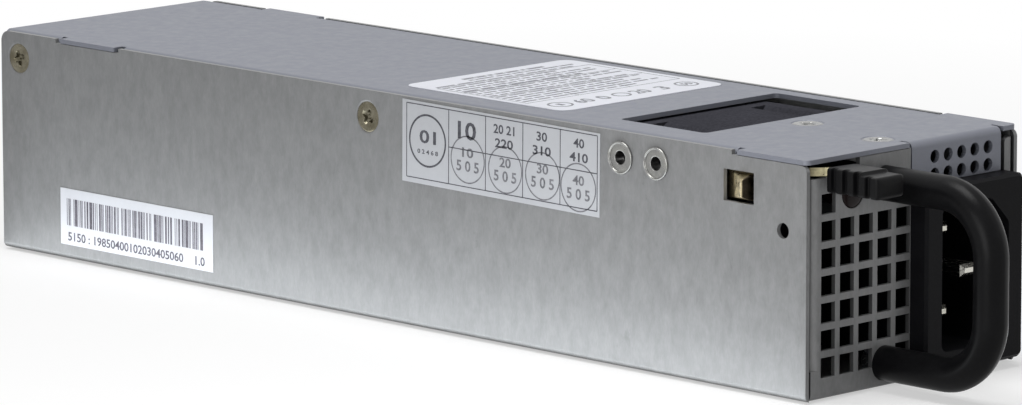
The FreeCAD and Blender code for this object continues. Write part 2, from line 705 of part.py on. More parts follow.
def cover_side():
    """Left side of the cover: the fold, and a screwed flange behind the latch and the fan."""
    x0 = INNER_LEFT + COVER_GAP
    fold_low = HEIGHT - BEND
    low = HEIGHT - COVER_FLANGE_DROP
    flange = box(x0, x0 + SHEET, COVER_FLANGE_START, REAR_TAB_START - BEND_RELIEF, low, fold_low)
    rear = box(x0, x0 + SHEET, REAR_TAB_END + BEND_RELIEF, LENGTH - COVER_REAR_GAP, low, fold_low)
    parts = [flange, rear]
    for y in SIDE_SCREW_Y:
        parts.append(small_rod(x0 + SHEET, y, SIDE_SCREW_Z, SCREW_SHANK / 2 + COLLAR_WALL,
                               COLLAR_DEPTH, X_AXIS))
    return parts


def make_cover_sheet():
    """Cover's top sheet: folded at the sides, flat where its tabs lie over the walls."""
    x0 = INNER_LEFT + COVER_GAP
    outer = box(x0, WIDTH - x0, 0, LENGTH - PANEL_PLAY, HEIGHT - BEND, HEIGHT)
    outer = rounded(outer, BEND - 1e-3,
                    lambda along, mid: parallel(along, Y_AXIS) and mid.z > HEIGHT - 1e-6)
    inner = box(x0 + SHEET, WIDTH - x0 - SHEET, -1, LENGTH + 1, 0, CEILING)
    inner = rounded(inner, BEND - SHEET,
                    lambda along, mid: parallel(along, Y_AXIS) and mid.z > CEILING - 1e-6)
    sheet = outer.cut(inner)
    for y0, y1 in ((-1, FRONT_TAB + BEND_RELIEF),
                   (REAR_TAB_START - BEND_RELIEF, REAR_TAB_END + BEND_RELIEF)):
        for x in (-1, WIDTH - x0 - BEND):
            sheet = sheet.cut(box(x, x + x0 + BEND + 1, y0, y1, 0, HEIGHT + 1))
    sheet = sheet.cut(box(0, WIDTH, LENGTH - SHEET - COVER_GAP, LENGTH + 1, 0, CEILING))
    front = box(0, WIDTH, 0, FRONT_TAB, CEILING, HEIGHT)
    front = rounded(front, TAB_CORNER, lambda along, mid: parallel(along, Z_AXIS) and mid.y < 1e-6)
    rear = box(0, WIDTH, REAR_TAB_START, REAR_TAB_END, CEILING, HEIGHT)
    return joined([sheet, front, rear])


def make_vent_flange():
    """Flange folded down from the cover's front edge, above the inlet, with round vents."""
    outer = box(FLANGE_X0, FLANGE_X1, 0, 2 * BEND, FLANGE_Z, HEIGHT)
    outer = rounded(
        outer, BEND,
        lambda along, mid: parallel(along, X_AXIS) and mid.y < 1e-6 and mid.z > HEIGHT - 1e-6)
    inner = box(0, WIDTH, SHEET, 3 * BEND, 0, CEILING)
    inner = rounded(
        inner, BEND - SHEET,
        lambda along, mid: parallel(along, X_AXIS) and mid.y < SHEET + 1e-6
        and mid.z > CEILING - 1e-6)
    flange = outer.cut(inner)
    for z in VENT_ROWS:
        for column in range(VENT_COLUMNS):
            x = VENT_X + column * VENT_PITCH
            flange = flange.cut(small_rod(x, -1, z, VENT_HOLE / 2, 2 * SHEET + 1, Y_AXIS, VENT_SIDES))
    return flange


def make_top_cover():
    """Removable cover: top sheet, side flanges, vent flange, fan window and screw holes."""
    sheet = make_cover_sheet()
    slot = BEND_RELIEF / 2
    sheet = sheet.cut(box(FLANGE_X0, FLANGE_X1, -1, 2 * BEND - RELIEF_RUN, 0, HEIGHT + 1))
    for x in (FLANGE_X0 - slot, FLANGE_X1):
        sheet = sheet.cut(box(x, x + slot, -1, 2 * BEND, 0, HEIGHT + 1))
    sides = cover_side()
    sides += [mirrored_x(part) for part in sides]
    cover = joined([sheet, make_vent_flange()] + sides)
    x0 = INNER_LEFT + COVER_GAP
    for y in SIDE_SCREW_Y:
        hole = small_rod(x0 - 1, y, SIDE_SCREW_Z, SCREW_SHANK / 2 + SCREW_FIT, 3 * SHEET + 2,
                         X_AXIS)
        cover = cover.cut(hole).cut(mirrored_x(hole))
    window = box(FAN_WINDOW_X, FAN_WINDOW_X + FAN_WINDOW_WIDTH, FAN_WINDOW_Y,
                 FAN_WINDOW_Y + FAN_WINDOW_DEPTH, CEILING - 1, HEIGHT + 1)
    window = rounded(window, WINDOW_CORNER, lambda along, mid: parallel(along, Z_AXIS))
    cover = cover.cut(window)
    for x, y in TOP_SCREWS:
        cover = cover.cut(small_cone(Vector(x, y, HEIGHT), Vector(0, 0, -1),
                                     SCREW_HEAD / 2 + SINK_PLAY, SCREW_SHANK / 2 + SINK_PLAY, SHEET))
    return cover


def countersunk_screw(origin, direction):
    """Countersunk screw; the rim of its flat head is centred on the origin."""
    head = small_cone(origin, direction, SCREW_HEAD / 2, SCREW_SHANK / 2, SCREW_HEAD_DEPTH)
    shank = small_rod(origin.x, origin.y, origin.z, SCREW_SHANK / 2, SCREW_LENGTH, direction)
    return head.fuse(shank)


def pan_screw(origin, direction, length):
    """Pan head screw; the head's underside lies at the origin and the shank runs on."""
    top = origin - direction * PAN_HEIGHT
    head = small_rod(top.x, top.y, top.z, PAN_HEAD / 2, PAN_HEIGHT, direction)
    shank = small_rod(origin.x, origin.y, origin.z, SCREW_SHANK / 2, length, direction)
    return joined([head, shank])


def make_side_screws():
    """Four screws through the walls into the cover's flanges."""
    left = [countersunk_screw(Vector(0, y, SIDE_SCREW_Z), X_AXIS) for y in SIDE_SCREW_Y]
    return group(left + [mirrored_x(screw) for screw in left])


def make_top_screws():
    """Two screws through the cover, into the seat flange and the fan's bracket."""
    return group([countersunk_screw(Vector(x, y, HEIGHT), Vector(0, 0, -1)) for x, y in TOP_SCREWS])


# ---------------------------------------------------------------- handle
def make_handle():
    """Round bar bent to a U, with a threaded hole in the foot of each arm."""
    radius = HANDLE_BAR / 2
    run = HANDLE_REACH - HANDLE_BEND
    span = HANDLE_HIGH_Z - HANDLE_LOW_Z - 2 * HANDLE_BEND
    parts = [rod(HANDLE_X, 0, z, radius, run, Vector(0, -1, 0))
             for z in (HANDLE_LOW_Z, HANDLE_HIGH_Z)]
    parts.append(rod(HANDLE_X, -HANDLE_REACH, HANDLE_LOW_Z + HANDLE_BEND, radius, span))
    for z, first in ((HANDLE_LOW_Z + HANDLE_BEND, 180), (HANDLE_HIGH_Z - HANDLE_BEND, 90)):
        bend = Part.makeTorus(HANDLE_BEND, radius, Vector(0, 0, 0), Z_AXIS, -180, 180, 90)
        bend.rotate(Vector(0, 0, 0), Z_AXIS, first)
        bend.Placement = FreeCAD.Placement(
            Vector(HANDLE_X, -run, z),
            FreeCAD.Rotation(Y_AXIS, Z_AXIS, X_AXIS, "XYZ")) * bend.Placement
        parts.append(bend)
    handle = joined(parts)
    for z in (HANDLE_LOW_Z, HANDLE_HIGH_Z):
        handle = handle.cut(small_rod(HANDLE_X, 0, z, SCREW_SHANK / 2 + SCREW_FIT,
                                      HANDLE_THREAD_DEPTH, Vector(0, -1, 0)))
    return handle


def make_handle_screws():
    """Two screws from inside, through the front panel into the handle's feet."""
    length = SHEET + HANDLE_THREAD_DEPTH - HANDLE_SCREW_SHORT
    return group([pan_screw(Vector(HANDLE_X, SHEET, z), Vector(0, -1, 0), length)
                  for z in (HANDLE_LOW_Z, HANDLE_HIGH_Z)])


# ---------------------------------------------------------------- inlet
def recess_cut():
    """Keyed recess: chamfered corners on the earth side, small radii on the other."""
    x0, x1 = INLET_X - RECESS_W / 2, INLET_X + RECESS_W / 2
    z0, z1 = INLET_Z - RECESS_H / 2, INLET_Z + RECESS_H / 2
    y = -INLET_PROUD - 1
    outline = [(x0, y, z0), (x1 - RECESS_CHAMFER, y, z0), (x1, y, z0 + RECESS_CHAMFER),
               (x1, y, z1 - RECESS_CHAMFER), (x1 - RECESS_CHAMFER, y, z1), (x0, y, z1)]
    recess = prism(outline, Vector(0, RECESS_FLOOR - y, 0))
    return rounded(recess, RECESS_CORNER, lambda along, mid: parallel(along, Y_AXIS))


def blade_places():
    """Section centre and tip of the line, earth and neutral blades."""
    half = BLADE_SPACING / 2
    return ((INLET_X - BLADE_OFFSET, INLET_Z + half, POWER_BLADE_TIP),
            (INLET_X + BLADE_OFFSET, INLET_Z, EARTH_BLADE_TIP),
            (INLET_X - BLADE_OFFSET, INLET_Z - half, POWER_BLADE_TIP))


def make_inlet_housing():
    """Moulded inlet: face with rounded rim, body with snap arms, keyed recess, blade seats."""
    w, h = INLET_FACE_W / 2, INLET_FACE_H / 2
    face = box(INLET_X - w, INLET_X + w, -INLET_PROUD, 0, INLET_Z - h, INLET_Z + h)
    face = rounded(face, INLET_FACE_R, lambda along, mid: parallel(along, Y_AXIS))
    rim = [edge for edge in face.Edges if edge.BoundBox.YMax < -INLET_PROUD + 1e-6]
    face = face.makeChamfer(INLET_RIM, rim)
    w, h = INLET_BODY_W / 2, INLET_BODY_H / 2
    body = box(INLET_X - w, INLET_X + w, -INLET_PROUD / 2, INLET_BODY_DEPTH, INLET_Z - h, INLET_Z + h)
    body = rounded(body, INLET_BODY_R, lambda along, mid: parallel(along, Y_AXIS) and mid.y > 0)
    housing = joined([face, body])
    arm = SNAP_ARM_W / 2
    side = INLET_X - w
    start = SHEET + INLET_PLAY
    wedge = prism([(side + SNAP_ARM_ROOT, start, INLET_Z - arm),
                   (side - SNAP_ARM_T, start, INLET_Z - arm),
                   (side + SNAP_ARM_ROOT, start + SNAP_ARM_LENGTH, INLET_Z - arm)],
                  Vector(0, 0, SNAP_ARM_W))
    other = wedge.mirror(Vector(INLET_X, 0, 0), X_AXIS)
    housing = joined([housing, wedge, other]).cut(recess_cut())
    for x, z, _ in blade_places():
        housing = housing.cut(box(x - BLADE_W / 2, x + BLADE_W / 2, RECESS_FLOOR - 1,
                                  INLET_BODY_DEPTH + 1, z - BLADE_T / 2, z + BLADE_T / 2))
    return housing


def make_blade(x, z, tip):
    """Flat contact blade with a chamfered tip and a soldering tail."""
    blade = box(x - BLADE_W / 2, x + BLADE_W / 2, tip, INLET_BODY_DEPTH, z - BLADE_T / 2,
                z + BLADE_T / 2)
    tips = [edge for edge in blade.Edges
            if all(abs(vertex.Point.y - tip) < 1e-6 for vertex in edge.Vertexes)]
    blade = blade.makeChamfer(BLADE_TIP_CHAMFER, tips)
    tail = box(x - TAIL_W / 2, x + TAIL_W / 2, INLET_BODY_DEPTH, TAIL_END, z - TAIL_T / 2,
               z + TAIL_T / 2)
    return joined([blade, tail])


def make_lead(x, z, y_end):
    """Insulated lead: off its blade's tail, past the fan, down and in to the terminal block."""
    points = [Vector(x + TAIL_W / 2 + INLET_PLAY, LEAD_TURN_Y, z),
              Vector(LEAD_RUN_X, LEAD_TURN_Y, z),
              Vector(LEAD_RUN_X, y_end, z),
              Vector(LEAD_RUN_X, y_end, TERMINAL_Z),
              Vector(TERMINAL_BLOCK[1] - LEAD_INSERT, y_end, TERMINAL_Z)]
    path = Part.makePolygon(points)
    sides = [Vector(points[0].x, points[0].y + LEAD_R * math.cos(math.radians(60 * i)),
                    points[0].z + LEAD_R * math.sin(math.radians(60 * i))) for i in range(6)]
    return path.makePipeShell([Part.makePolygon(sides + sides[:1])], True, False, 1)


def make_inlet_leads():
    """Three insulated leads from the inlet's tails to the terminal block."""
    line, earth, neutral = blade_places()
    return group([make_lead(place[0], place[1], y_end)
                  for place, y_end in zip((line, neutral, earth), TERMINAL_Y)])


# ---------------------------------------------------------------- status light
def make_led():
    """Lens with a collar behind the panel."""
    lens = small_rod(LED_X, 0, LED_Z, LED_LENS / 2, LED_BODY_DEPTH, Y_AXIS, HEAD_SIDES)
    dome = small_cone(Vector(LED_X, 0, LED_Z), Vector(0, -1, 0), LED_LENS / 2,
                      LED_LENS / 2 - LED_PROUD, LED_PROUD)
    collar = small_rod(LED_X, SHEET + LED_PLAY, LED_Z, LED_FLANGE / 2, LED_COLLAR, Y_AXIS)
    return joined([lens, dome, collar])


def make_led_board():
    """Small upright board that carries the light, with its bracket on the seat flange."""
    y = LED_BODY_DEPTH
    return box(LED_X - LED_BOARD_SIDE, NOTCH_END + LED_BOARD_REACH, y, y + LED_BOARD_T,
               LED_Z - LED_BOARD_DROP, LAP_TOP - SHEET)


# ---------------------------------------------------------------- latch
def leaf_x():
    """Inner face of the moving leaf's offset from the wall."""
    return INNER_LEFT + ARM_WALL_GAP


def make_latch_anchor():
    """Riveted root of the release spring, flat on the wall."""
    root = box(INNER_LEFT, INNER_LEFT + LEAF_T, FLEX_Y + FLEX_SLIT / 2, ANCHOR_END, LEAF_Z0, LEAF_Z1)
    root = bevelled(
        root, LEAF_CORNER,
        lambda along, mid: parallel(along, X_AXIS) and mid.y > ANCHOR_END - 1e-6)
    for y in RIVET_Y:
        root = root.cut(small_rod(0, y, RIVET_Z, RIVET_SHANK / 2 + RIVET_PLAY, 2 * SHEET, X_AXIS))
    return root


def make_catch():
    """Formed catch: a ramp that faces the bay and a steep locking face, bevelled at both ends."""
    x = leaf_x()
    y0, y1 = CATCH_Y
    z0, z1 = CATCH_Z
    outline = [(x + CATCH_SINK, y0, z0), (x, y0, z0), (CATCH_RIDGE_X, CATCH_RIDGE_Y, z0),
               (x, y1, z0), (x + CATCH_SINK, y1, z0)]
    wedge = prism(outline, Vector(0, 0, z1 - z0))
    reach = x - CATCH_RIDGE_X
    for z, sign in ((z1, 1), (z0, -1)):
        bevel = prism([(CATCH_RIDGE_X - 1, y0 - 1, z - sign * CATCH_BEVEL * (1 + 1 / reach)),
                       (x, y0 - 1, z + sign * CATCH_TRIM),
                       (CATCH_RIDGE_X - 1, y0 - 1, z + sign * CATCH_TRIM)], Vector(0, y1 - y0 + 2, 0))
        wedge = wedge.cut(bevel)
    return wedge


def make_latch_arm():
    """Moving leaf of the release spring: full height behind the panel, neck through the notch."""
    x = leaf_x()
    leaf = box(x, x + LEAF_T, ARM_FRONT, FLEX_Y - FLEX_SLIT / 2, LEAF_Z0, LEAF_Z1)
    leaf = rounded(
        leaf, LEAF_CORNER,
        lambda along, mid: parallel(along, X_AXIS) and mid.y < ARM_FRONT + 1e-6 and mid.z < LEAF_Z1 - 1)
    height = Vector(0, 0, LEAF_Z1 - NECK_Z0)
    straight = box(x, x + LEAF_T, NECK_BEND_Y, ARM_FRONT + 1, NECK_Z0, LEAF_Z1)
    slope = prism([(x, NECK_BEND_Y, NECK_Z0), (x + LEAF_T, NECK_BEND_Y, NECK_Z0),
                   (NECK_END_X, TAB_Y1, NECK_Z0), (NECK_END_X - LEAF_T, TAB_Y1, NECK_Z0)], height)
    tongue = box(NECK_END_X - LEAF_T, NECK_END_X, NECK_END_Y, TAB_Y1, NECK_Z0, LEAF_Z1)
    return joined([leaf, straight, slope, tongue, make_catch()])


def make_latch_tab():
    """Moulded thumb tab: rounded block with upright grip grooves and a slot for the leaf."""
    plan = [(TAB_X0, TAB_Y0, TAB_Z0), (TAB_X1, TAB_Y0, TAB_Z0),
            (TAB_X1, TAB_Y1 - TAB_SKEW, TAB_Z0), (TAB_X0, TAB_Y1, TAB_Z0)]
    tab = prism(plan, Vector(0, 0, TAB_Z1 - TAB_Z0))
    tab = tab.cut(box(TAB_X0 - 1, TAB_X1 + 1, TAB_Y0 - 1, TAB_STEP_Y, TAB_Z1 - TAB_STEP, HEIGHT))
    tab = bevelled(tab, TAB_BEVEL, lambda along, mid: mid.y < TAB_Y0 + 1e-6 or mid.z < TAB_Z0 + 1e-6)
    for index in range(TAB_GROOVES):
        y = TAB_Y0 + TAB_GROOVE_START + index * TAB_GROOVE_PITCH
        tab = tab.cut(box(TAB_X0 - 1, TAB_X0 + TAB_GROOVE_DEPTH, y, y + TAB_GROOVE_W,
                          TAB_Z0 - 1, TAB_Z1 + 1))
    slot = box(NECK_END_X - LEAF_T - TAB_SLOT_PLAY, NECK_END_X + TAB_SLOT_PLAY,
               NECK_END_Y - TAB_SLOT_PLAY, 0, NECK_Z0 - TAB_SLOT_PLAY, TAB_Z1 + 1)
    return tab.cut(slot)


def make_rivet(y):
    """Hollow eyelet: rolled head outside the wall, flared rim inside the leaf."""
    shank_end = INNER_LEFT + LEAF_T
    body = small_rod(0, y, RIVET_Z, RIVET_SHANK / 2, shank_end, X_AXIS)
    head = small_cone(Vector(0, y, RIVET_Z), Vector(-1, 0, 0), RIVET_HEAD / 2,
                      RIVET_HEAD / 2 - RIVET_PROUD, RIVET_PROUD)
    flare = small_rod(shank_end, y, RIVET_Z, RIVET_FLARE / 2, RIVET_PROUD, X_AXIS)
    bore = small_rod(-1, y, RIVET_Z, RIVET_BORE / 2, HEIGHT, X_AXIS)
    return joined([body, head, flare]).cut(bore)


# ---------------------------------------------------------------- fan
def fan_axis(y, radius, length):
    """A cylinder on the fan's axis, from a depth behind its front face."""
    return rod(FAN_CENTRE_X, FAN_Y + y, FAN_CENTRE_Z, radius, length, Y_AXIS)


def fan_prism(y, radius, length, sides=SMALL_SIDES):
    """A round piece with few faces on the fan's axis."""
    return small_rod(FAN_CENTRE_X, FAN_Y + y, FAN_CENTRE_Z, radius, length, Y_AXIS, sides)


def make_fan_frame():
    """Fan frame: two square flanges, duct, saddles, corner posts, motor base on four struts."""
    half = FAN_SIZE / 2
    x0, x1 = FAN_CENTRE_X - half, FAN_CENTRE_X + half
    z0, z1 = FAN_CENTRE_Z - half, FAN_CENTRE_Z + half
    block = box(x0, x1, FAN_Y, FAN_Y + FAN_DEPTH, z0, z1)
    block = rounded(block, FAN_CORNER, lambda along, mid: parallel(along, Y_AXIS))
    waist = box(x0 - 1, x1 + 1, FAN_Y + FAN_FLANGE, FAN_Y + FAN_DEPTH - FAN_FLANGE, z0 - 1, z1 + 1)
    keep = [fan_prism(0, FAN_WAIST / 2, FAN_DEPTH, 2 * HEAD_SIDES)]
    reach = FAN_HOLE_PITCH / 2
    corners = [(sx * reach, sz * reach) for sx in (-1, 1) for sz in (-1, 1)]
    for dx, dz in corners:
        keep.append(small_rod(FAN_CENTRE_X + dx, FAN_Y, FAN_CENTRE_Z + dz, FAN_POST, FAN_DEPTH,
                              Y_AXIS))
    pockets = waist.cut(keep[0].multiFuse(keep[1:]))
    frame = block.cut(pockets).cut(fan_axis(-1, FAN_BORE / 2, FAN_DEPTH + 2))
    base_y = FAN_DEPTH - FAN_MOTOR_BASE
    base = fan_prism(base_y, FAN_HUB / 2, FAN_MOTOR_BASE, HEAD_SIDES)
    struts = []
    for index in range(FAN_STRUTS):
        strut = box(FAN_CENTRE_X, FAN_CENTRE_X + FAN_BORE / 2 + FAN_STRUT_ROOT, FAN_Y + base_y,
                    FAN_Y + FAN_DEPTH, FAN_CENTRE_Z - FAN_STRUT_W / 2, FAN_CENTRE_Z + FAN_STRUT_W / 2)
        struts.append(turned(strut, Vector(FAN_CENTRE_X, 0, FAN_CENTRE_Z), Y_AXIS,
                             45 + index * 360 / FAN_STRUTS))
    neck = fan_prism(BEARING_START, BEARING_OUTER / 2 + NECK_WALL, base_y - BEARING_START + FAN_MOTOR_BASE / 2)
    frame = joined([frame, base, neck] + struts)
    for dx, dz in corners:
        frame = frame.cut(small_rod(FAN_CENTRE_X + dx, FAN_Y - 1, FAN_CENTRE_Z + dz, FAN_HOLE / 2,
                                    FAN_DEPTH + 2, Y_AXIS))
    return frame.cut(fan_prism(0, BEARING_OUTER / 2, FAN_DEPTH - BEARING_CAP))


def fan_blade():
    """Cambered blade: an arc section that leans across the air flow, swept out to the tip."""
    y0 = FAN_Y + FAN_ROTOR_START + BLADE_INSET
    y1 = FAN_Y + FAN_ROTOR_END - BLADE_INSET
    half = (y1 - y0) * math.tan(math.radians(FAN_BLADE_LEAN)) / 2
    edges = []
    for offset in (0, FAN_BLADE_T):
        start = Vector(FAN_CENTRE_X - half + offset, y0, FAN_CENTRE_Z)
        end = Vector(FAN_CENTRE_X + half + offset, y1, FAN_CENTRE_Z)
        middle = (start + end) * 0.5 + Vector(FAN_BLADE_CAMBER, 0, 0)
        edges.append((start, middle, end))
    (a0, a1, a2), (b0, b1, b2) = edges
    outline = Part.Wire([Part.Arc(a0, a1, a2).toShape(), Part.makeLine(a2, b2),
                         Part.Arc(b2, b1, b0).toShape(), Part.makeLine(b0, a0)])
    tip = math.sqrt((FAN_BORE / 2 - FAN_TIP_GAP) ** 2 - (half + FAN_BLADE_T + FAN_BLADE_CAMBER) ** 2)
    root = FAN_HUB / 2 - BLADE_ROOT
    blade = Part.Face(outline).extrude(Vector(0, 0, tip - root))
    blade.translate(Vector(0, 0, root))
    return blade


def make_fan_rotor():
    """Moulded rotor: cup with seven cambered blades."""
    height = FAN_ROTOR_END - FAN_ROTOR_START
    cup = fan_prism(FAN_ROTOR_START, FAN_HUB / 2, height, 2 * HEAD_SIDES)
    cup = cup.cut(fan_prism(FAN_ROTOR_START + CUP_FACE, FAN_HUB / 2 - CUP_WALL, height, HEAD_SIDES))
    blade = fan_blade()
    centre = Vector(FAN_CENTRE_X, 0, FAN_CENTRE_Z)
    blades = [turned(blade, centre, Y_AXIS, index * 360 / FAN_BLADES)
              for index in range(FAN_BLADES)]
    rotor = joined([cup] + blades)
    return rotor.cut(fan_prism(FAN_ROTOR_START + CUP_FACE / 2, SHAFT / 2, FAN_DEPTH))


def make_fan_bracket(top):
    """Bracket on the fan's front face: ears at its corner holes and a flange on the sheet."""
    half = FAN_SIZE / 2
    y1 = FAN_Y - BRACKET_PLAY
    x0, x1 = FAN_CENTRE_X - half, FAN_CENTRE_X + half
    sheet_low, sheet_high = (CEILING - SHEET, CEILING) if top else (SHEET, 2 * SHEET)
    low = CEILING - BRACKET_EAR_Z if top else SHEET
    plate = box(x0, x1, y1 - SHEET, y1, low, low + BRACKET_EAR_Z)
    plate = plate.cut(small_rod(FAN_CENTRE_X, 0, FAN_CENTRE_Z, FAN_BORE / 2, 2 * HEIGHT, Y_AXIS,
                                HEAD_SIDES))
    parts = [plate, box(x0, x1, y1 - BRACKET_REACH, y1, sheet_low, sheet_high)]
    x, y = TOP_SCREWS[1]
    if top:
        parts.append(small_rod(x, y, sheet_low - COLLAR_DEPTH, SCREW_SHANK / 2 + COLLAR_WALL,
                               COLLAR_DEPTH))
    bracket = joined(parts)
    ear_z = FAN_CENTRE_Z + (FAN_HOLE_PITCH / 2 if top else -FAN_HOLE_PITCH / 2)
    for dx in (-FAN_HOLE_PITCH / 2, FAN_HOLE_PITCH / 2):
        x_ear = FAN_CENTRE_X + dx
        bracket = bracket.cut(small_rod(x_ear, 0, ear_z, SCREW_SHANK / 2 + SINK_PLAY, 2 * HEIGHT,
                                        Y_AXIS))
        head_y = y1 - SHEET - PAN_HEIGHT - HEAD_ROOM
        head = PAN_HEAD / 2 + HEAD_ROOM
        bracket = bracket.cut(box(x_ear - head, x_ear + head, head_y, y1 - SHEET,
                                  ear_z - head, ear_z + head))
    if top:
        bracket = bracket.cut(small_rod(x, y, HEIGHT / 2, SCREW_SHANK / 2 + SCREW_FIT, HEIGHT))
    return bracket


def make_fan_screws():
    """Four screws through the brackets' ears into the fan's corner holes."""
    reach = FAN_HOLE_PITCH / 2
    y = FAN_Y - BRACKET_PLAY - SHEET
    return group([pan_screw(Vector(FAN_CENTRE_X + dx, y, FAN_CENTRE_Z + dz), Y_AXIS, FAN_SCREW_LENGTH)
                  for dx in (-reach, reach) for dz in (-reach, reach)])


def make_rotor_magnet():
    """Ring magnet pressed into the rotor's cup."""
    outer = FAN_HUB / 2 - CUP_WALL
    ring = fan_prism(FAN_ROTOR_START + CUP_FACE, outer, MAGNET_DEPTH, HEAD_SIDES)
    return ring.cut(fan_prism(0, outer - MAGNET_T, FAN_DEPTH, HEAD_SIDES))


def make_fan_shaft():
    """Rotor's shaft: pressed into the cup at one end, in the bearing sleeve at the other."""
    start = FAN_ROTOR_START + CUP_FACE / 2
    seat = fan_prism(start, SHAFT / 2, BEARING_START - start)
    root = BEARING_START - CUP_FACE / 2
    journal = fan_axis(root, SHAFT / 2, FAN_DEPTH - 2 * BEARING_CAP - root)
    return joined([seat, journal])


def make_fan_bearing():
    """Bearing sleeve pressed into the frame's neck."""
    sleeve = fan_prism(BEARING_START, BEARING_OUTER / 2, FAN_DEPTH - BEARING_CAP - BEARING_START)
    return sleeve.cut(fan_axis(0, SHAFT / 2 + BEARING_FIT, FAN_DEPTH - BEARING_CAP - BEARING_END))


def make_fan_stator():
    """Wound four-pole stator on the frame's neck, inside the magnet."""
    inner = BEARING_OUTER / 2 + NECK_WALL
    outer = FAN_HUB / 2 - CUP_WALL - MAGNET_T - STATOR_GAP
    core = fan_prism(STATOR_START, inner + STATOR_SLEEVE, STATOR_DEPTH)
    y0 = FAN_Y + STATOR_START + POLE_INSET
    y1 = FAN_Y + STATOR_START + STATOR_DEPTH - POLE_INSET
    arms = []
    for index in range(STATOR_POLES):
        arm = box(FAN_CENTRE_X, FAN_CENTRE_X + outer - POLE_TIP, y0, y1,
                  FAN_CENTRE_Z - POLE_W / 2, FAN_CENTRE_Z + POLE_W / 2)
        arms.append(turned(arm, Vector(FAN_CENTRE_X, 0, FAN_CENTRE_Z), Y_AXIS,
                           index * 360 / STATOR_POLES))
    return joined([core] + arms).cut(fan_prism(0, inner, FAN_DEPTH))


# ---------------------------------------------------------------- boards
def make_standoffs():
    """Threaded standoffs swaged into the floor, flush with its underside."""
    posts = []
    for x in STANDOFF_X:
        for y in STANDOFF_Y:
            post = hexagon(x, y, 0, STANDOFF, BOARD_Z)
            posts.append(post.cut(small_rod(x, y, STANDOFF_BASE, SCREW_SHANK / 2 + SCREW_FIT, BOARD_Z)))
    return group(posts)


def make_board_screws():
    """Pan head screws that hold the main board on its standoffs."""
    return group([pan_screw(Vector(x, y, BOARD_TOP), Vector(0, 0, -1), BOARD_SCREW_LENGTH)
                  for x in STANDOFF_X for y in STANDOFF_Y])


def make_main_board():
    """Main board with its screw holes and the contact tongue that leaves the rear panel."""
    rear = LENGTH - SHEET - BOARD_REAR_GAP
    board = box(BOARD_X0, BOARD_X1, BOARD_Y0, rear, BOARD_Z, BOARD_TOP)
    tongue = box(TONGUE_X0, TONGUE_X1, rear - 1, LENGTH + TONGUE_PROUD, BOARD_Z, BOARD_TOP)
    tips = [edge for edge in tongue.Edges
            if all(vertex.Point.y > LENGTH for vertex in edge.Vertexes)
            and abs(edge.Vertexes[0].Point.z - edge.Vertexes[1].Point.z) < 1e-6]
    board = joined([board, tongue.makeChamfer(TONGUE_BEVEL, tips)])
    for x in STANDOFF_X:
        for y in STANDOFF_Y:
            board = board.cut(small_rod(x, y, 0, BOARD_HOLE / 2, HEIGHT))
    return board


def make_edge_contacts():
    """Gold contact pads on both faces of the tongue."""
    pads = []
    count = int((TONGUE_X1 - TONGUE_X0 - CONTACT_EDGE) / CONTACT_PITCH)
    start = (TONGUE_X0 + TONGUE_X1 - (count - 1) * CONTACT_PITCH) / 2
    y1 = LENGTH + TONGUE_PROUD - CONTACT_EDGE
    for index in range(count):
        x = start + index * CONTACT_PITCH
        for z in (BOARD_TOP, BOARD_Z - CONTACT_T):
            pads.append(box(x - CONTACT_W / 2, x + CONTACT_W / 2, y1 - CONTACT_LENGTH, y1,
                            z, z + CONTACT_T))
    return group(pads)


def make_insulation_film():
    """Insulating film between the floor and the board, holed for the standoffs."""
    low = SHEET + FILM_LIFT
    film = box(BOARD_X0 - FILM_MARGIN, BOARD_X1 + FILM_MARGIN, BOARD_Y0 - FILM_FRONT,
               LENGTH - SHEET - BEND, low, low + SHEET_FILM)
    for x in STANDOFF_X:
        for y in STANDOFF_Y:
            film = film.cut(hexagon(x, y, 0, STANDOFF + 2 * FILM_PLAY, HEIGHT))
    return film


def on_board(footprint, height, lift=0.0):
    """A block on the main board, given its footprint."""
    x0, x1, y0, y1 = footprint
    return box(x0, x1, y0, y1, BOARD_TOP + lift, BOARD_TOP + lift + height)


def make_terminal_block():
    """Terminal block in which the inlet's leads end."""
    body = on_board(TERMINAL_BLOCK, TERMINAL_HEIGHT)
    half = TERMINAL_ENTRY / 2
    x1 = TERMINAL_BLOCK[1]
    for y in TERMINAL_Y:
        body = body.cut(box(x1 - TERMINAL_DEPTH, x1 + 1, y - half, y + half,
                            TERMINAL_Z - half, TERMINAL_Z + half))
    return body


def make_fuse():
    """Ceramic fuse with end caps."""
    y0, y1 = FUSE_Y
    z = BOARD_TOP + FUSE_CAP_R
    body = polygon_bar(FUSE_X, y0, z, FUSE_BODY_R, HEAD_SIDES, y1 - y0, Y_AXIS)
    caps = [polygon_bar(FUSE_X, y, z, FUSE_CAP_R, HEAD_SIDES, FUSE_CAP_LENGTH, Y_AXIS)
            for y in (y0, y1 - FUSE_CAP_LENGTH)]
    return joined([body] + caps)


def ring_winding(centre, ring, wire, count, span):
    """Turns of a ring core's winding, each a frame round the core's section."""
    outer, inner, height = ring
    x0, x1 = inner - WIRE_PLAY, outer + WIRE_PLAY
    half = height / 2 + WIRE_PLAY
    frame = box(x0 - wire, x1 + wire, -wire / 2, wire / 2, -half - wire, half + wire)
    frame = frame.cut(box(x0, x1, -wire, wire, -half, half))
    upright = FreeCAD.Placement(Vector(*centre), FreeCAD.Rotation(Z_AXIS, X_AXIS))
    turns = []
    for index in range(count):
        angle = -span / 2 + span * index / (count - 1)
        turn = turned(frame, Vector(0, 0, 0), Z_AXIS, angle)
        turn.Placement = upright * turn.Placement
        turns.append(turn)
    return turns


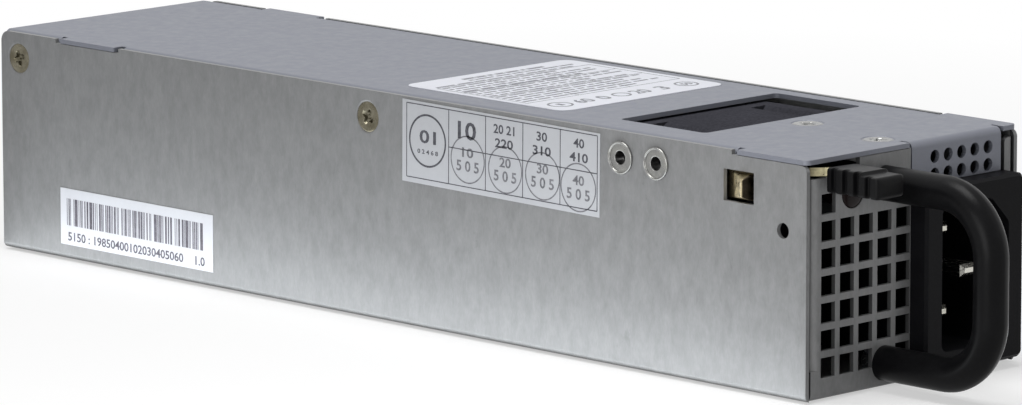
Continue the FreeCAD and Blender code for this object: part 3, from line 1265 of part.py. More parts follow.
def ring_core(centre, ring):
    """An upright ring core."""
    outer, inner, height = ring
    x, y, z = centre
    core = polygon_bar(x - height / 2, y, z, outer, HEAD_SIDES, height, X_AXIS)
    return core.cut(polygon_bar(x - height, y, z, inner, HEAD_SIDES, 2 * height, X_AXIS))


def carrier(footprint, centre):
    """Plate on which an upright ring stands, with a block at each end."""
    x0, x1, y0, y1 = footprint
    plate = on_board(footprint, CARRIER_T)
    half = (x1 - x0) / 4
    blocks = [on_board((centre[0] - half, centre[0] + half, y, y + CARRIER_BLOCK), CARRIER_RISE,
                       CARRIER_T) for y in (y0, y1 - CARRIER_BLOCK)]
    return joined([plate] + blocks)


def make_choke_windings():
    """Common-mode choke's two windings on opposite halves of its ring."""
    turns = ring_winding(CHOKE_CENTRE, CHOKE_RING, CHOKE_WIRE, CHOKE_TURNS, CHOKE_SPAN)
    other = [turned(turn, Vector(*CHOKE_CENTRE), X_AXIS, 180) for turn in turns]
    return group(turns + other)


def make_boost_winding():
    """Boost choke's single winding round most of its ring."""
    return group(ring_winding(BOOST_CENTRE, BOOST_RING, BOOST_WIRE, BOOST_TURNS, BOOST_SPAN))


def make_y_capacitors():
    """Two disc capacitors to earth."""
    discs = []
    for x in DISC_X:
        disc = small_rod(x, DISC_Y, BOARD_TOP + DISC_LIFT + DISC_R, DISC_R, DISC_T, Y_AXIS)
        leads = [pin(x + dx, DISC_Y + DISC_T / 2, BOARD_TOP, LEAD_W, DISC_R)
                 for dx in (-DISC_LEADS, DISC_LEADS)]
        discs.append(joined([disc] + leads))
    return group(discs)


def make_bulk_capacitor():
    """High-voltage electrolytic capacitor, lying on the board, its leads bent down."""
    y0, y1 = BULK_Y
    z = BOARD_TOP + BULK_R
    parts = [polygon_bar(BULK_X, y0, z, BULK_R, 2 * HEAD_SIDES, y1 - y0, Y_AXIS)]
    for x in (BULK_X - BULK_LEADS, BULK_X + BULK_LEADS):
        parts.append(pin(x, y0 - BULK_LEAD_OUT, BOARD_TOP, LEAD_W, BULK_R))
        parts.append(box(x - LEAD_W / 2, x + LEAD_W / 2, y0 - BULK_LEAD_OUT, y0 + LEAD_W,
                         z - LEAD_W, z))
    return joined(parts)


def make_primary_heatsink():
    """Finned heat sink that the bridge and the switches are fixed to."""
    y0, y1 = SINK_Y
    sink = on_board((SINK_X, SINK_X + SINK_T, y0, y1), SINK_HEIGHT)
    fins = []
    lift = FIN_START
    while lift < SINK_HEIGHT:
        fins.append(on_board((SINK_X + SINK_T, SINK_X + SINK_T + FIN_DEPTH, y0, y1), FIN_T, lift))
        lift += FIN_PITCH
    return joined([sink] + fins)


def make_primary_switches():
    """Bridge rectifier and three power switches, flat on the heat sink."""
    parts = []
    low, high = SWITCH_Z
    for index in range(SWITCH_COUNT):
        y = SINK_Y[0] + SWITCH_START + index * SWITCH_STEP
        body = on_board((SINK_X - SWITCH_T, SINK_X, y - SWITCH_W / 2, y + SWITCH_W / 2),
                        high - low, low)
        legs = [pin(SINK_X - SWITCH_T / 2, y + dy, BOARD_TOP, LEAD_W, low)
                for dy in (-SWITCH_PITCH, 0, SWITCH_PITCH)]
        parts.append(joined([body] + legs))
    return group(parts)


def make_transformer_core():
    """Ferrite core of the main transformer: outer frame and middle leg."""
    low, high = CORE_Z
    core = on_board(CORE, high - low, low)
    for x0, x1 in CORE_WINDOWS:
        core = core.cut(on_board((x0, x1, CORE[2] - 1, CORE[3] + 1),
                                 high - low - 2 * CORE_WALL, low + CORE_WALL))
    return core


def make_transformer_bobbin():
    """Taped winding round the core's middle leg, on the bobbin's two rails."""
    low, high = CORE_Z
    low, high = low + CORE_WALL + CORE_PLAY, high - CORE_WALL - CORE_PLAY
    x0, x1 = CORE_WINDOWS[0][0] + CORE_PLAY, CORE_WINDOWS[1][1] - CORE_PLAY
    y0, y1 = CORE[2] - COIL_END, CORE[3] + COIL_END
    coil = bevelled(on_board((x0, x1, y0, y1), high - low, low), COIL_BEVEL,
                    lambda along, mid: parallel(along, Z_AXIS))
    middle = (CORE_WINDOWS[0][1] - CORE_PLAY, CORE_WINDOWS[1][0] + CORE_PLAY,
              CORE[2] - CORE_PLAY, CORE[3] + CORE_PLAY)
    coil = coil.cut(on_board(middle, HEIGHT))
    rails = [on_board((RAIL[0], RAIL[1], y, y + RAIL_W), RAIL_HEIGHT)
             for y in (y0 - RAIL_PROUD, y1 + RAIL_PROUD - RAIL_W)]
    return joined([coil] + rails)


def make_standby_transformer():
    """Small transformer of the standby supply."""
    return joined([on_board(STANDBY_BASE, STANDBY_BASE_HEIGHT),
                   on_board(STANDBY_CORE, STANDBY_HEIGHT),
                   on_board(STANDBY_COIL, STANDBY_COIL_HEIGHT - STANDBY_BASE_HEIGHT,
                            STANDBY_BASE_HEIGHT)])


def make_output_capacitors():
    """Output electrolytic capacitors, upright."""
    return group([small_rod(x, y, BOARD_TOP, OUTPUT_CAP_R, OUTPUT_CAP_HEIGHT, Z_AXIS, HEAD_SIDES)
                  for x, y in OUTPUT_CAP_XY])


def make_control_board():
    """Upright control board with its controllers and header."""
    x = CONTROL_BOARD[1]
    chips = [on_board((x, x + CHIP_T, y, y + CHIP), CHIP, CHIP_Z) for y in CHIP_Y]
    return joined([on_board(CONTROL_BOARD, CONTROL_HEIGHT), on_board(CONTROL_HEADER, HEADER_HEIGHT)]
                  + chips)


def make_rating_label():
    """Rating label on the cover, with rounded corners."""
    x0, x1, y0, y1 = RATING_LABEL
    label = box(x0, x1, y0, y1, HEIGHT, HEIGHT + LABEL_T)
    return rounded(label, RATING_LABEL_R, lambda along, mid: parallel(along, Z_AXIS))


def make_test_label():
    """Test label on the left wall, stuck on with a slight tilt."""
    y0, y1, z0, z1 = TEST_LABEL
    label = box(-LABEL_T, 0, y0, y1, z0, z1)
    return turned(label, Vector(0, (y0 + y1) / 2, (z0 + z1) / 2), X_AXIS, TEST_LABEL_TILT)


def make_serial_label():
    """Serial label on the left wall."""
    y0, y1, z0, z1 = SERIAL_LABEL
    return box(-LABEL_T, 0, y0, y1, z0, z1)


def export(name, shape):
    """Writes one node, moved so that the origin is in the middle of the housing's underside."""
    moved = shape.copy()
    moved.translate(Vector(-WIDTH / 2, -LENGTH / 2, 0))
    moved.exportStep("parts/%s.step" % name)


SUB_PARTS = {
    "base_chassis": make_base_chassis,
    "top_cover": make_top_cover,
    "side_screws": make_side_screws,
    "cover_screws": make_top_screws,
    "handle": make_handle,
    "handle_screws": make_handle_screws,
    "inlet_housing": make_inlet_housing,
    "inlet_leads": make_inlet_leads,
    "status_light": make_led,
    "light_board": make_led_board,
    "latch_anchor": make_latch_anchor,
    "latch_arm": make_latch_arm,
    "latch_tab": make_latch_tab,
    "fan_frame": make_fan_frame,
    "fan_rotor": make_fan_rotor,
    "rotor_magnet": make_rotor_magnet,
    "fan_shaft": make_fan_shaft,
    "fan_bearing": make_fan_bearing,
    "fan_stator": make_fan_stator,
    "fan_screws": make_fan_screws,
    "main_board": make_main_board,
    "board_standoffs": make_standoffs,
    "board_screws": make_board_screws,
    "edge_contacts": make_edge_contacts,
    "insulation_film": make_insulation_film,
    "terminal_block": make_terminal_block,
    "input_fuse": make_fuse,
    "choke_windings": make_choke_windings,
    "y_capacitors": make_y_capacitors,
    "boost_choke_winding": make_boost_winding,
    "bulk_capacitor": make_bulk_capacitor,
    "primary_heatsink": make_primary_heatsink,
    "power_switches": make_primary_switches,
    "transformer_core": make_transformer_core,
    "transformer_bobbin": make_transformer_bobbin,
    "standby_transformer": make_standby_transformer,
    "output_capacitors": make_output_capacitors,
    "control_board": make_control_board,
    "rating_label": make_rating_label,
    "test_label": make_test_label,
    "serial_label": make_serial_label,
}


def main():
    """Builds every sub-part and writes it as its own STEP file."""
    os.makedirs("parts", exist_ok=True)
    for name, make in SUB_PARTS.items():
        export(name, make())
    line, earth, neutral = [make_blade(*place) for place in blade_places()]
    export("power_blades", group([line, neutral]))
    export("earth_blade", earth)
    export("latch_rivets", group([make_rivet(y) for y in RIVET_Y]))
    export("fan_top_bracket", make_fan_bracket(top=True))
    export("fan_bottom_bracket", make_fan_bracket(top=False))
    export("choke_core", ring_core(CHOKE_CENTRE, CHOKE_RING))
    export("choke_base", carrier(CHOKE_BASE, CHOKE_CENTRE))
    export("boost_choke_core", ring_core(BOOST_CENTRE, BOOST_RING))
    export("boost_choke_base", carrier(BOOST_BASE, BOOST_CENTRE))
    export("x_capacitor", on_board(X_CAPACITOR, X_CAPACITOR_HEIGHT))
    export("inrush_relay", on_board(RELAY, RELAY_HEIGHT))
    export("fan_plug", on_board(FAN_PLUG, FAN_PLUG_HEIGHT))


main()
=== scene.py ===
"""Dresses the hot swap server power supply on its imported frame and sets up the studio."""
import logging
import math
from dataclasses import dataclass, field
from enum import Enum
from typing import Sequence

import bmesh
import bpy
import numpy as np
from mathutils import Matrix, Vector


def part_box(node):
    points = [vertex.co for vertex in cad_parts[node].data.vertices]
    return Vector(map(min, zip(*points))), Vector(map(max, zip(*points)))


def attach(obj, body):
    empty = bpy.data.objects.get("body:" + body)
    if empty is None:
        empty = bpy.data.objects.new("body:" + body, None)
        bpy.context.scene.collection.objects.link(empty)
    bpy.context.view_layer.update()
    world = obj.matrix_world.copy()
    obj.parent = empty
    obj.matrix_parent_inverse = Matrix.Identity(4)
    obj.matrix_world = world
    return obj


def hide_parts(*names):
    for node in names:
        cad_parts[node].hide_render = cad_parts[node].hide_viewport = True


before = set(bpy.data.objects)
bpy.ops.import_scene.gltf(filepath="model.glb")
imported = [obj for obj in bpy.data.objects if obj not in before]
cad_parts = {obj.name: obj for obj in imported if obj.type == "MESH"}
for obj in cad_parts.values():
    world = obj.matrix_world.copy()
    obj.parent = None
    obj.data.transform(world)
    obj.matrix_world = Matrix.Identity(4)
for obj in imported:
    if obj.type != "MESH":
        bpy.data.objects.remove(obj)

log = logging.getLogger("power_supply")
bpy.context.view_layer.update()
MM = 0.001
Colour = tuple[float, float, float]


class Grain(Enum):
    """Direction in which a rolled or brushed sheet shows its grain."""

    UPRIGHT = (1.0, 1.0, 0.3)
    LENGTHWISE = (1.0, 0.045, 1.0)
    NONE = (1.0, 1.0, 1.0)


class Facing(Enum):
    """Reading frame of a flat piece: its rightward, upward and outward directions."""

    LEFT_WALL = ((0, -1, 0), (0, 0, 1), (-1, 0, 0))
    RIGHT_WALL = ((0, 1, 0), (0, 0, 1), (1, 0, 0))
    TOP = ((1, 0, 0), (0, 1, 0), (0, 0, 1))
    FRONT = ((1, 0, 0), (0, 0, 1), (0, -1, 0))


# ------------------------------------------------------------------ shader building
class ShaderSheet:
    """A material's node tree, built up with short calls."""

    def __init__(self, name: str) -> None:
        """Starts a material with one Principled shader.

        Args:
            name: Name of the material.
        """
        self.material = bpy.data.materials.new(name)
        self.material.use_nodes = True
        self.tree = self.material.node_tree
        self.shader = self.tree.nodes["Principled BSDF"]
        self._point: bpy.types.NodeSocket | None = None

    def add(self, kind: str, **settings: object) -> bpy.types.Node:
        """Adds a node.

        Args:
            kind: Node type.
            **settings: Attributes to set on it.

        Returns:
            The new node.
        """
        node = self.tree.nodes.new(kind)
        for key, value in settings.items():
            setattr(node, key, value)
        return node

    def join(self, source: bpy.types.NodeSocket, target: bpy.types.NodeSocket) -> None:
        """Links two sockets."""
        self.tree.links.new(source, target)

    def fix(self, **values: object) -> None:
        """Sets constants on the shader's own sockets.

        Args:
            **values: Socket names with underscores for spaces, and their values.
        """
        for key, value in values.items():
            self.shader.inputs[key.replace("_", " ")].default_value = value

    def point(self, stretch: Sequence[float] = (1, 1, 1)) -> bpy.types.NodeSocket:
        """Object coordinates, stretched.

        Args:
            stretch: Factor on each axis.

        Returns:
            The vector socket.
        """
        if self._point is None:
            self._point = self.add("ShaderNodeTexCoord").outputs["Object"]
        mapping = self.add("ShaderNodeMapping")
        mapping.inputs["Scale"].default_value = tuple(stretch)
        self.join(self._point, mapping.inputs["Vector"])
        return mapping.outputs["Vector"]

    def noise(self, per_metre: float, stretch: Sequence[float] = (1, 1, 1), detail: float = 3.0,
              rough: float = 0.55) -> bpy.types.NodeSocket:
        """Noise at a real scale.

        Args:
            per_metre: Features in a metre.
            stretch: Factor on each axis.
            detail: Octaves.
            rough: Weight of the finer octaves.

        Returns:
            The factor socket.
        """
        node = self.add("ShaderNodeTexNoise")
        node.inputs["Scale"].default_value = per_metre
        node.inputs["Detail"].default_value = detail
        node.inputs["Roughness"].default_value = rough
        self.join(self.point(stretch), node.inputs["Vector"])
        return node.outputs["Fac"]

    def cells(self, per_metre: float, stretch: Sequence[float] = (1, 1, 1)) -> bpy.types.NodeSocket:
        """Cell pattern; the socket carries each cell's own grey."""
        node = self.add("ShaderNodeTexVoronoi")
        node.inputs["Scale"].default_value = per_metre
        self.join(self.point(stretch), node.inputs["Vector"])
        grey = self.add("ShaderNodeRGBToBW")
        self.join(node.outputs["Color"], grey.inputs["Color"])
        return grey.outputs["Val"]

    def span(self, value: bpy.types.NodeSocket, low: float, high: float, start: float = 0.3,
             stop: float = 0.7) -> bpy.types.NodeSocket:
        """Maps a factor between two values.

        Args:
            value: Socket to map.
            low: Result at start.
            high: Result at stop.
            start: Lower end of the factor.
            stop: Upper end of the factor.

        Returns:
            The mapped socket.
        """
        node = self.add("ShaderNodeMapRange", clamp=True)
        for key, number in (("From Min", start), ("From Max", stop), ("To Min", low), ("To Max", high)):
            node.inputs[key].default_value = number
        self.join(value, node.inputs["Value"])
        return node.outputs["Result"]

    def blend(self, factor: bpy.types.NodeSocket, first: object, second: object) -> bpy.types.NodeSocket:
        """Mixes two colours, each a colour or a socket.

        Args:
            factor: Mixing factor.
            first: Colour at 0.
            second: Colour at 1.

        Returns:
            The colour socket.
        """
        node = self.add("ShaderNodeMix", data_type="RGBA")
        self.join(factor, node.inputs[0])
        for slot, item in ((6, first), (7, second)):
            if isinstance(item, bpy.types.NodeSocket):
                self.join(item, node.inputs[slot])
            else:
                node.inputs[slot].default_value = (*item, 1.0)
        return node.outputs[2]

    def vary(self, colour: bpy.types.NodeSocket, value: bpy.types.NodeSocket, low: float, high: float,
             start: float = 0.3, stop: float = 0.7) -> bpy.types.NodeSocket:
        """Multiplies a colour by a grey that runs between two values.

        Args:
            colour: Colour to change.
            value: Factor that drives the grey.
            low: Grey at start.
            high: Grey at stop.
            start: Lower end of the factor.
            stop: Upper end of the factor.

        Returns:
            The colour socket.
        """
        node = self.add("ShaderNodeVectorMath", operation="SCALE")
        self.join(colour, node.inputs[0])
        self.join(self.span(value, low, high, start, stop), node.inputs["Scale"])
        return node.outputs[0]

    def along(self, axis: str) -> bpy.types.NodeSocket:
        """Place along an axis of the housing, in metres."""
        split = self.add("ShaderNodeSeparateXYZ")
        self.join(self.point(), split.inputs[0])
        return split.outputs[axis]

    def product(self, first: bpy.types.NodeSocket, second: bpy.types.NodeSocket) -> bpy.types.NodeSocket:
        """Product of two factors."""
        node = self.add("ShaderNodeMath", operation="MULTIPLY")
        self.join(first, node.inputs[0])
        self.join(second, node.inputs[1])
        return node.outputs[0]

    def bump(self, height: bpy.types.NodeSocket, depth: float, strength: float = 1.0) -> None:
        """Bends the shader's normal by a height.

        Args:
            height: Height socket, 0 to 1.
            depth: Real depth in metres.
            strength: Share of the effect.
        """
        node = self.add("ShaderNodeBump")
        node.inputs["Strength"].default_value = strength
        node.inputs["Distance"].default_value = depth
        self.join(height, node.inputs["Height"])
        self.join(node.outputs["Normal"], self.shader.inputs["Normal"])

    def paint(self, colour: bpy.types.NodeSocket) -> None:
        """Joins a colour to the shader."""
        self.join(colour, self.shader.inputs["Base Color"])

    def gloss(self, rough: bpy.types.NodeSocket) -> None:
        """Joins a roughness to the shader."""
        self.join(rough, self.shader.inputs["Roughness"])


def shade(colour: Colour, factor: float) -> Colour:
    """A colour made lighter or darker by a factor."""
    return tuple(min(1.0, c * factor) for c in colour)


# ------------------------------------------------------------------ finishes
@dataclass(frozen=True)
class RolledSheet:
    """Zinc-coated sheet with rolling grain, faint mottling and small rub marks."""

    colour: Colour
    grain: Grain = Grain.UPRIGHT
    rough: float = 0.4
    metal: float = 0.25
    grain_depth: float = 0.05
    mottle: float = 0.08
    marks: float = 0.3
    shine: float = 0.5
    # darkens the grille openings' sheared sides: partly bare punched edge, partly painted shade
    side_darkening: float = 1.0

    def dress(self, name: str) -> bpy.types.Material:
        """Builds the material: grain, mottling and rub marks over one tone, and darker sheared sides, partly
        the bare punched edge and partly painted shade.
        """
        sheet = ShaderSheet(name)
        rolled = self.grain is not Grain.NONE
        grain = sheet.noise(3600, self.grain.value, 4.0, 0.6)
        streak = sheet.noise(1500, (1, 1, 0.45) if rolled else (1, 1, 1), 3.0, 0.6)
        mottle = sheet.noise(560, (1, 1, 0.5) if rolled else (1, 1, 1), 5.0, 0.6)
        cloud = sheet.noise(22, (1, 1, 1), 3.0)
        base = sheet.blend(sheet.span(cloud, 0, 1), shade(self.colour, 1 - self.mottle / 2),
                           shade(self.colour, 1 + self.mottle / 2))
        # painted shade inside the grille openings, together with the darker bare punched edge
        if self.side_darkening != 1:
            base = self.sheared(sheet, base)
        base = sheet.vary(base, mottle, 1 - self.mottle, 1 + self.mottle, 0.35, 0.68)
        base = sheet.vary(base, streak, 1 - self.grain_depth / 2, 1 + self.grain_depth / 2)
        base = sheet.vary(base, grain, 1 - self.grain_depth, 1 + self.grain_depth)
        rub = sheet.noise(140, (1, 1, 0.6), 8.0, 0.7)
        sheet.paint(sheet.vary(base, rub, 1, 1 - self.marks, 0.66, 0.76))
        sheet.fix(Metallic=self.metal, Specular_IOR_Level=self.shine)
        sheet.gloss(sheet.span(mottle, self.rough - 0.06, self.rough + 0.08))
        sheet.bump(grain, 0.000006, 0.5)
        return sheet.material

    def sheared(self, sheet: ShaderSheet, base: bpy.types.NodeSocket) -> bpy.types.NodeSocket:
        """Darkens the sheared upright sides of the grille's openings: partly the bare punched edge, partly
        painted shade inside the openings.

        Args:
            sheet: The material in hand.
            base: Its colour so far.

        Returns:
            The colour socket.
        """
        left, front, _ = corners("base_chassis")[0]
        split = sheet.add("ShaderNodeSeparateXYZ")
        sheet.join(sheet.add("ShaderNodeNewGeometry").outputs["True Normal"], split.inputs[0])
        sideways = sheet.add("ShaderNodeMath", operation="ABSOLUTE")
        sheet.join(split.outputs["X"], sideways.inputs[0])
        share = sheet.span(sideways.outputs[0], 0, 1, 0.6, 0.9)
        in_from_wall = sheet.span(sheet.along("X"), 0, 1, left + 0.35 * MM, left + 0.65 * MM)
        in_front_panel = sheet.span(sheet.along("Y"), 1, 0, front + 0.85 * MM, front + 1.05 * MM)
        share = sheet.product(sheet.product(share, in_from_wall), in_front_panel)
        return sheet.vary(base, share, 1, self.side_darkening, 0, 1)


@dataclass(frozen=True)
class Moulding:
    """Moulded plastic, ceramic or coating with a fine spark-eroded grain."""

    colour: Colour
    rough: float = 0.45
    grain_size: float = 2400.0
    grain_depth: float = 0.00002
    variation: float = 0.12
    coat: float = 0.0
    shine: float = 0.5

    def dress(self, name: str) -> bpy.types.Material:
        """Builds the material: pitted grain, slight tone changes and handling shine."""
        sheet = ShaderSheet(name)
        pits = sheet.noise(self.grain_size, (1, 1, 1), 3.0, 0.6)
        tone = sheet.noise(90, (1, 1, 1), 4.0)
        base = sheet.blend(sheet.span(tone, 0, 1), shade(self.colour, 1 - self.variation),
                           shade(self.colour, 1 + self.variation))
        sheet.paint(sheet.vary(base, pits, 0.85, 1.3))
        sheet.fix(Metallic=0.0, Coat_Weight=self.coat, Coat_Roughness=0.15, Specular_IOR_Level=self.shine)
        sheet.gloss(sheet.span(tone, self.rough - 0.05, self.rough + 0.07))
        sheet.bump(pits, self.grain_depth, 0.5)
        return sheet.material


@dataclass(frozen=True)
class Plating:
    """Plated or bare metal with a tint that drifts and fine turning marks."""

    colour: Colour
    tint: Colour
    rough: float = 0.28
    grain: Grain = Grain.NONE
    fine: float = 2600.0

    def dress(self, name: str) -> bpy.types.Material:
        """Builds the material: two tints that drift into each other, and a fine grain."""
        sheet = ShaderSheet(name)
        drift = sheet.noise(420, (1, 1, 1), 3.0)
        grain = sheet.noise(self.fine, self.grain.value, 3.0)
        base = sheet.blend(sheet.span(drift, 0, 1, 0.38, 0.62), self.colour, self.tint)
        sheet.paint(sheet.blend(sheet.span(grain, 0, 0.5), base, shade(self.colour, 0.78)))
        sheet.fix(Metallic=1.0)
        sheet.gloss(sheet.span(grain, self.rough - 0.06, self.rough + 0.1))
        sheet.bump(grain, 0.00001, 0.5)
        return sheet.material


@dataclass(frozen=True)
class SpringBronze:
    """Bronze strip in three tones along it: its own colour ahead of the panel, painted shade from panel to
    ridge, and behind the ridge painted shade on the leaf and a painted highlight on the catch's ramp.
    """

    # ahead is the bronze's own colour; between is painted shade; behind is painted shade on the leaf and a
    # painted highlight on the catch
    ahead: Colour
    behind: Colour
    between: Colour = (0.030, 0.024, 0.016)
    ridge: float = 13.1 * MM
    rough: float = 0.3

    def dress(self, name: str) -> bpy.types.Material:
        """Builds the material: three tones along the strip that paint shade and highlight, then stains and a
        fine rolling grain.
        """
        sheet = ShaderSheet(name)
        place = sheet.along("Y")
        panel = corners("base_chassis")[0][1]
        ridge, fade = panel + self.ridge, 0.1 * MM
        stain = sheet.noise(900, (1, 1, 1), 4.0)
        grain = sheet.noise(3000, Grain.LENGTHWISE.value, 3.0)
        past_panel = sheet.span(place, 0, 1, panel + 0.05 * MM, panel + 2.05 * MM)
        past_ridge = sheet.span(place, 0, 1, ridge - fade, ridge + fade)
        # painted shade from the panel to the ridge, then the painted tone behind the ridge
        base = sheet.blend(past_panel, self.ahead, self.between)
        base = sheet.blend(past_ridge, base, self.behind)
        base = sheet.vary(base, stain, 0.7, 1.3)
        sheet.paint(sheet.vary(base, grain, 0.85, 1.15))
        sheet.fix(Metallic=1.0)
        sheet.gloss(sheet.span(stain, self.rough - 0.06, self.rough + 0.12))
        sheet.bump(stain, 0.00002, 0.5)
        return sheet.material


@dataclass(frozen=True)
class CircuitBoard:
    """Solder resist over copper tracks and glass cloth."""

    colour: Colour = (0.035, 0.19, 0.085)
    track: Colour = (0.07, 0.30, 0.13)

    def dress(self, name: str) -> bpy.types.Material:
        """Builds the material: lighter resist where tracks lie under it, glossy."""
        sheet = ShaderSheet(name)
        tracks = sheet.cells(420, (1, 0.25, 1))
        weave = sheet.noise(1800, (1, 1, 1), 2.0)
        base = sheet.blend(sheet.span(tracks, 0, 1, 0.55, 0.6), self.colour, self.track)
        sheet.paint(sheet.blend(sheet.span(weave, 0, 0.3), base, shade(self.colour, 0.7)))
        sheet.gloss(sheet.span(weave, 0.25, 0.38))
        sheet.bump(tracks, 0.00003, 0.4)
        return sheet.material


@dataclass(frozen=True)
class LabelFilm:
    """White coated label film, slightly uneven."""

    colour: Colour

    def dress(self, name: str) -> bpy.types.Material:
        """Builds the material: soft fibre mottling and a low sheen."""
        sheet = ShaderSheet(name)
        fibre = sheet.noise(900, (1, 1, 1), 5.0, 0.7)
        cloud = sheet.noise(60, (1, 1, 1), 2.0)
        base = sheet.blend(sheet.span(cloud, 0, 1), self.colour, shade(self.colour, 0.93))
        sheet.paint(sheet.blend(sheet.span(fibre, 0, 0.5), base, shade(self.colour, 1.05)))
        sheet.gloss(sheet.span(fibre, 0.38, 0.5))
        sheet.bump(fibre, 0.000008, 0.4)
        return sheet.material


@dataclass(frozen=True)
class Ink:
    """Thermal print: dark dots that fade unevenly."""

    colour: Colour = (0.02, 0.02, 0.028)
    faded: Colour = (0.09, 0.09, 0.11)

    def dress(self, name: str) -> bpy.types.Material:
        """Builds the material: a fade between two greys at print-head scale."""
        sheet = ShaderSheet(name)
        fade = sheet.noise(1300, (1, 1, 1), 3.0)
        sheet.paint(sheet.blend(sheet.span(fade, 0, 1), self.colour, self.faded))
        sheet.gloss(sheet.span(fade, 0.4, 0.55))
        return sheet.material


@dataclass(frozen=True)
class Winding:
    """Enamelled wire: fine parallel ridges that glint."""

    colour: Colour = (0.55, 0.22, 0.08)
    ridges: float = 1500.0

    def dress(self, name: str) -> bpy.types.Material:
        """Builds the material: wave bands across the turns, darker between them as painted shade, and a warm
        drift in tone.
        """
        sheet = ShaderSheet(name)
        wave = sheet.add("ShaderNodeTexWave", bands_direction="X")
        wave.inputs["Scale"].default_value = self.ridges
        wave.inputs["Distortion"].default_value = 0.6
        sheet.join(sheet.point(), wave.inputs["Vector"])
        tone = sheet.noise(300, (1, 1, 1), 3.0)
        # darker bands between the turns are painted shade
        base = sheet.blend(wave.outputs["Fac"], shade(self.colour, 0.6), self.colour)
        sheet.paint(sheet.blend(sheet.span(tone, 0, 0.6), base, shade(self.colour, 1.25)))
        sheet.fix(Metallic=0.8, Coat_Weight=0.6, Coat_Roughness=0.1)
        sheet.gloss(sheet.span(tone, 0.25, 0.4))
        sheet.bump(wave.outputs["Fac"], 0.00005, 0.6)
        return sheet.material


# side sheet: its 0.25 darkens the grille openings' sheared sides, partly bare punched edge and partly painted
# shade
SIDE_SHEET = RolledSheet((0.245, 0.247, 0.249), Grain.UPRIGHT, metal=0.15, shine=0.15, side_darkening=0.25)
TOP_SHEET = RolledSheet((0.203, 0.213, 0.25), Grain.NONE, 0.5, grain_depth=0.02, mottle=0.02, marks=0.08)
BRACKET_SHEET = RolledSheet((0.32, 0.32, 0.33), Grain.LENGTHWISE)
YELLOW_ZINC = Plating((0.12, 0.108, 0.075), (0.215, 0.2, 0.152), 0.3)
RIVET_METAL = Plating((0.25, 0.25, 0.245), (0.32, 0.32, 0.30), 0.3)
COVER_ZINC = Plating((0.24, 0.245, 0.25), (0.32, 0.32, 0.31), 0.28)
BRIGHT_ZINC = Plating((0.66, 0.67, 0.69), (0.60, 0.62, 0.66), 0.2)
# spring leaf: bright brass only ahead of the panel; from the panel back its tones are painted shade
SPRING_BRONZE = SpringBronze((0.37, 0.335, 0.21), (0.045, 0.038, 0.024))
# catch: the locking face is painted shade and the ramp behind the ridge a painted highlight
CATCH_BRONZE = SpringBronze((0.40, 0.34, 0.19), (0.60, 0.51, 0.32), (0.05, 0.04, 0.028))
NICKEL = Plating((0.62, 0.61, 0.56), (0.68, 0.66, 0.58), 0.22, Grain.LENGTHWISE)
GOLD = Plating((0.80, 0.58, 0.20), (0.84, 0.64, 0.28), 0.22, Grain.LENGTHWISE)
BLACK_COAT = Moulding((0.0035, 0.0035, 0.004), 0.34, 1500.0, 0.000035, 0.2, shine=0.09)
INLET_BLACK = Moulding((0.006, 0.006, 0.007), 0.42, 2600.0, shine=0.06)
TAB_BLACK = Moulding((0.003, 0.003, 0.0034), 0.4, 2200.0, 0.00004, shine=0.1)
FAN_GREY = Moulding((0.052, 0.052, 0.062), 0.36, 1800.0, shine=0.0)
SMOKED_LENS = Moulding((0.007, 0.003, 0.003), 0.22, 900.0, 0.000004, 0.1, shine=0.12)
# light board coloured near black as painted shade for the gap under the cover's front edge
PAINTED_SHADE_BOARD = Moulding((0.006, 0.007, 0.007), 0.5, 1800.0, shine=0.1)
PAPER = LabelFilm((0.49, 0.5, 0.525))
WHITE_PAPER = LabelFilm((0.60, 0.61, 0.645))
COATED_FILM = LabelFilm((0.78, 0.795, 0.865))
BLACK_INK = Ink()
STAMP_INK = Ink((0.10, 0.10, 0.115), (0.22, 0.22, 0.24))
BAR_INK = Ink((0.05, 0.045, 0.06), (0.13, 0.12, 0.15))
GREY_INK = Ink((0.13, 0.135, 0.155), (0.24, 0.25, 0.28))

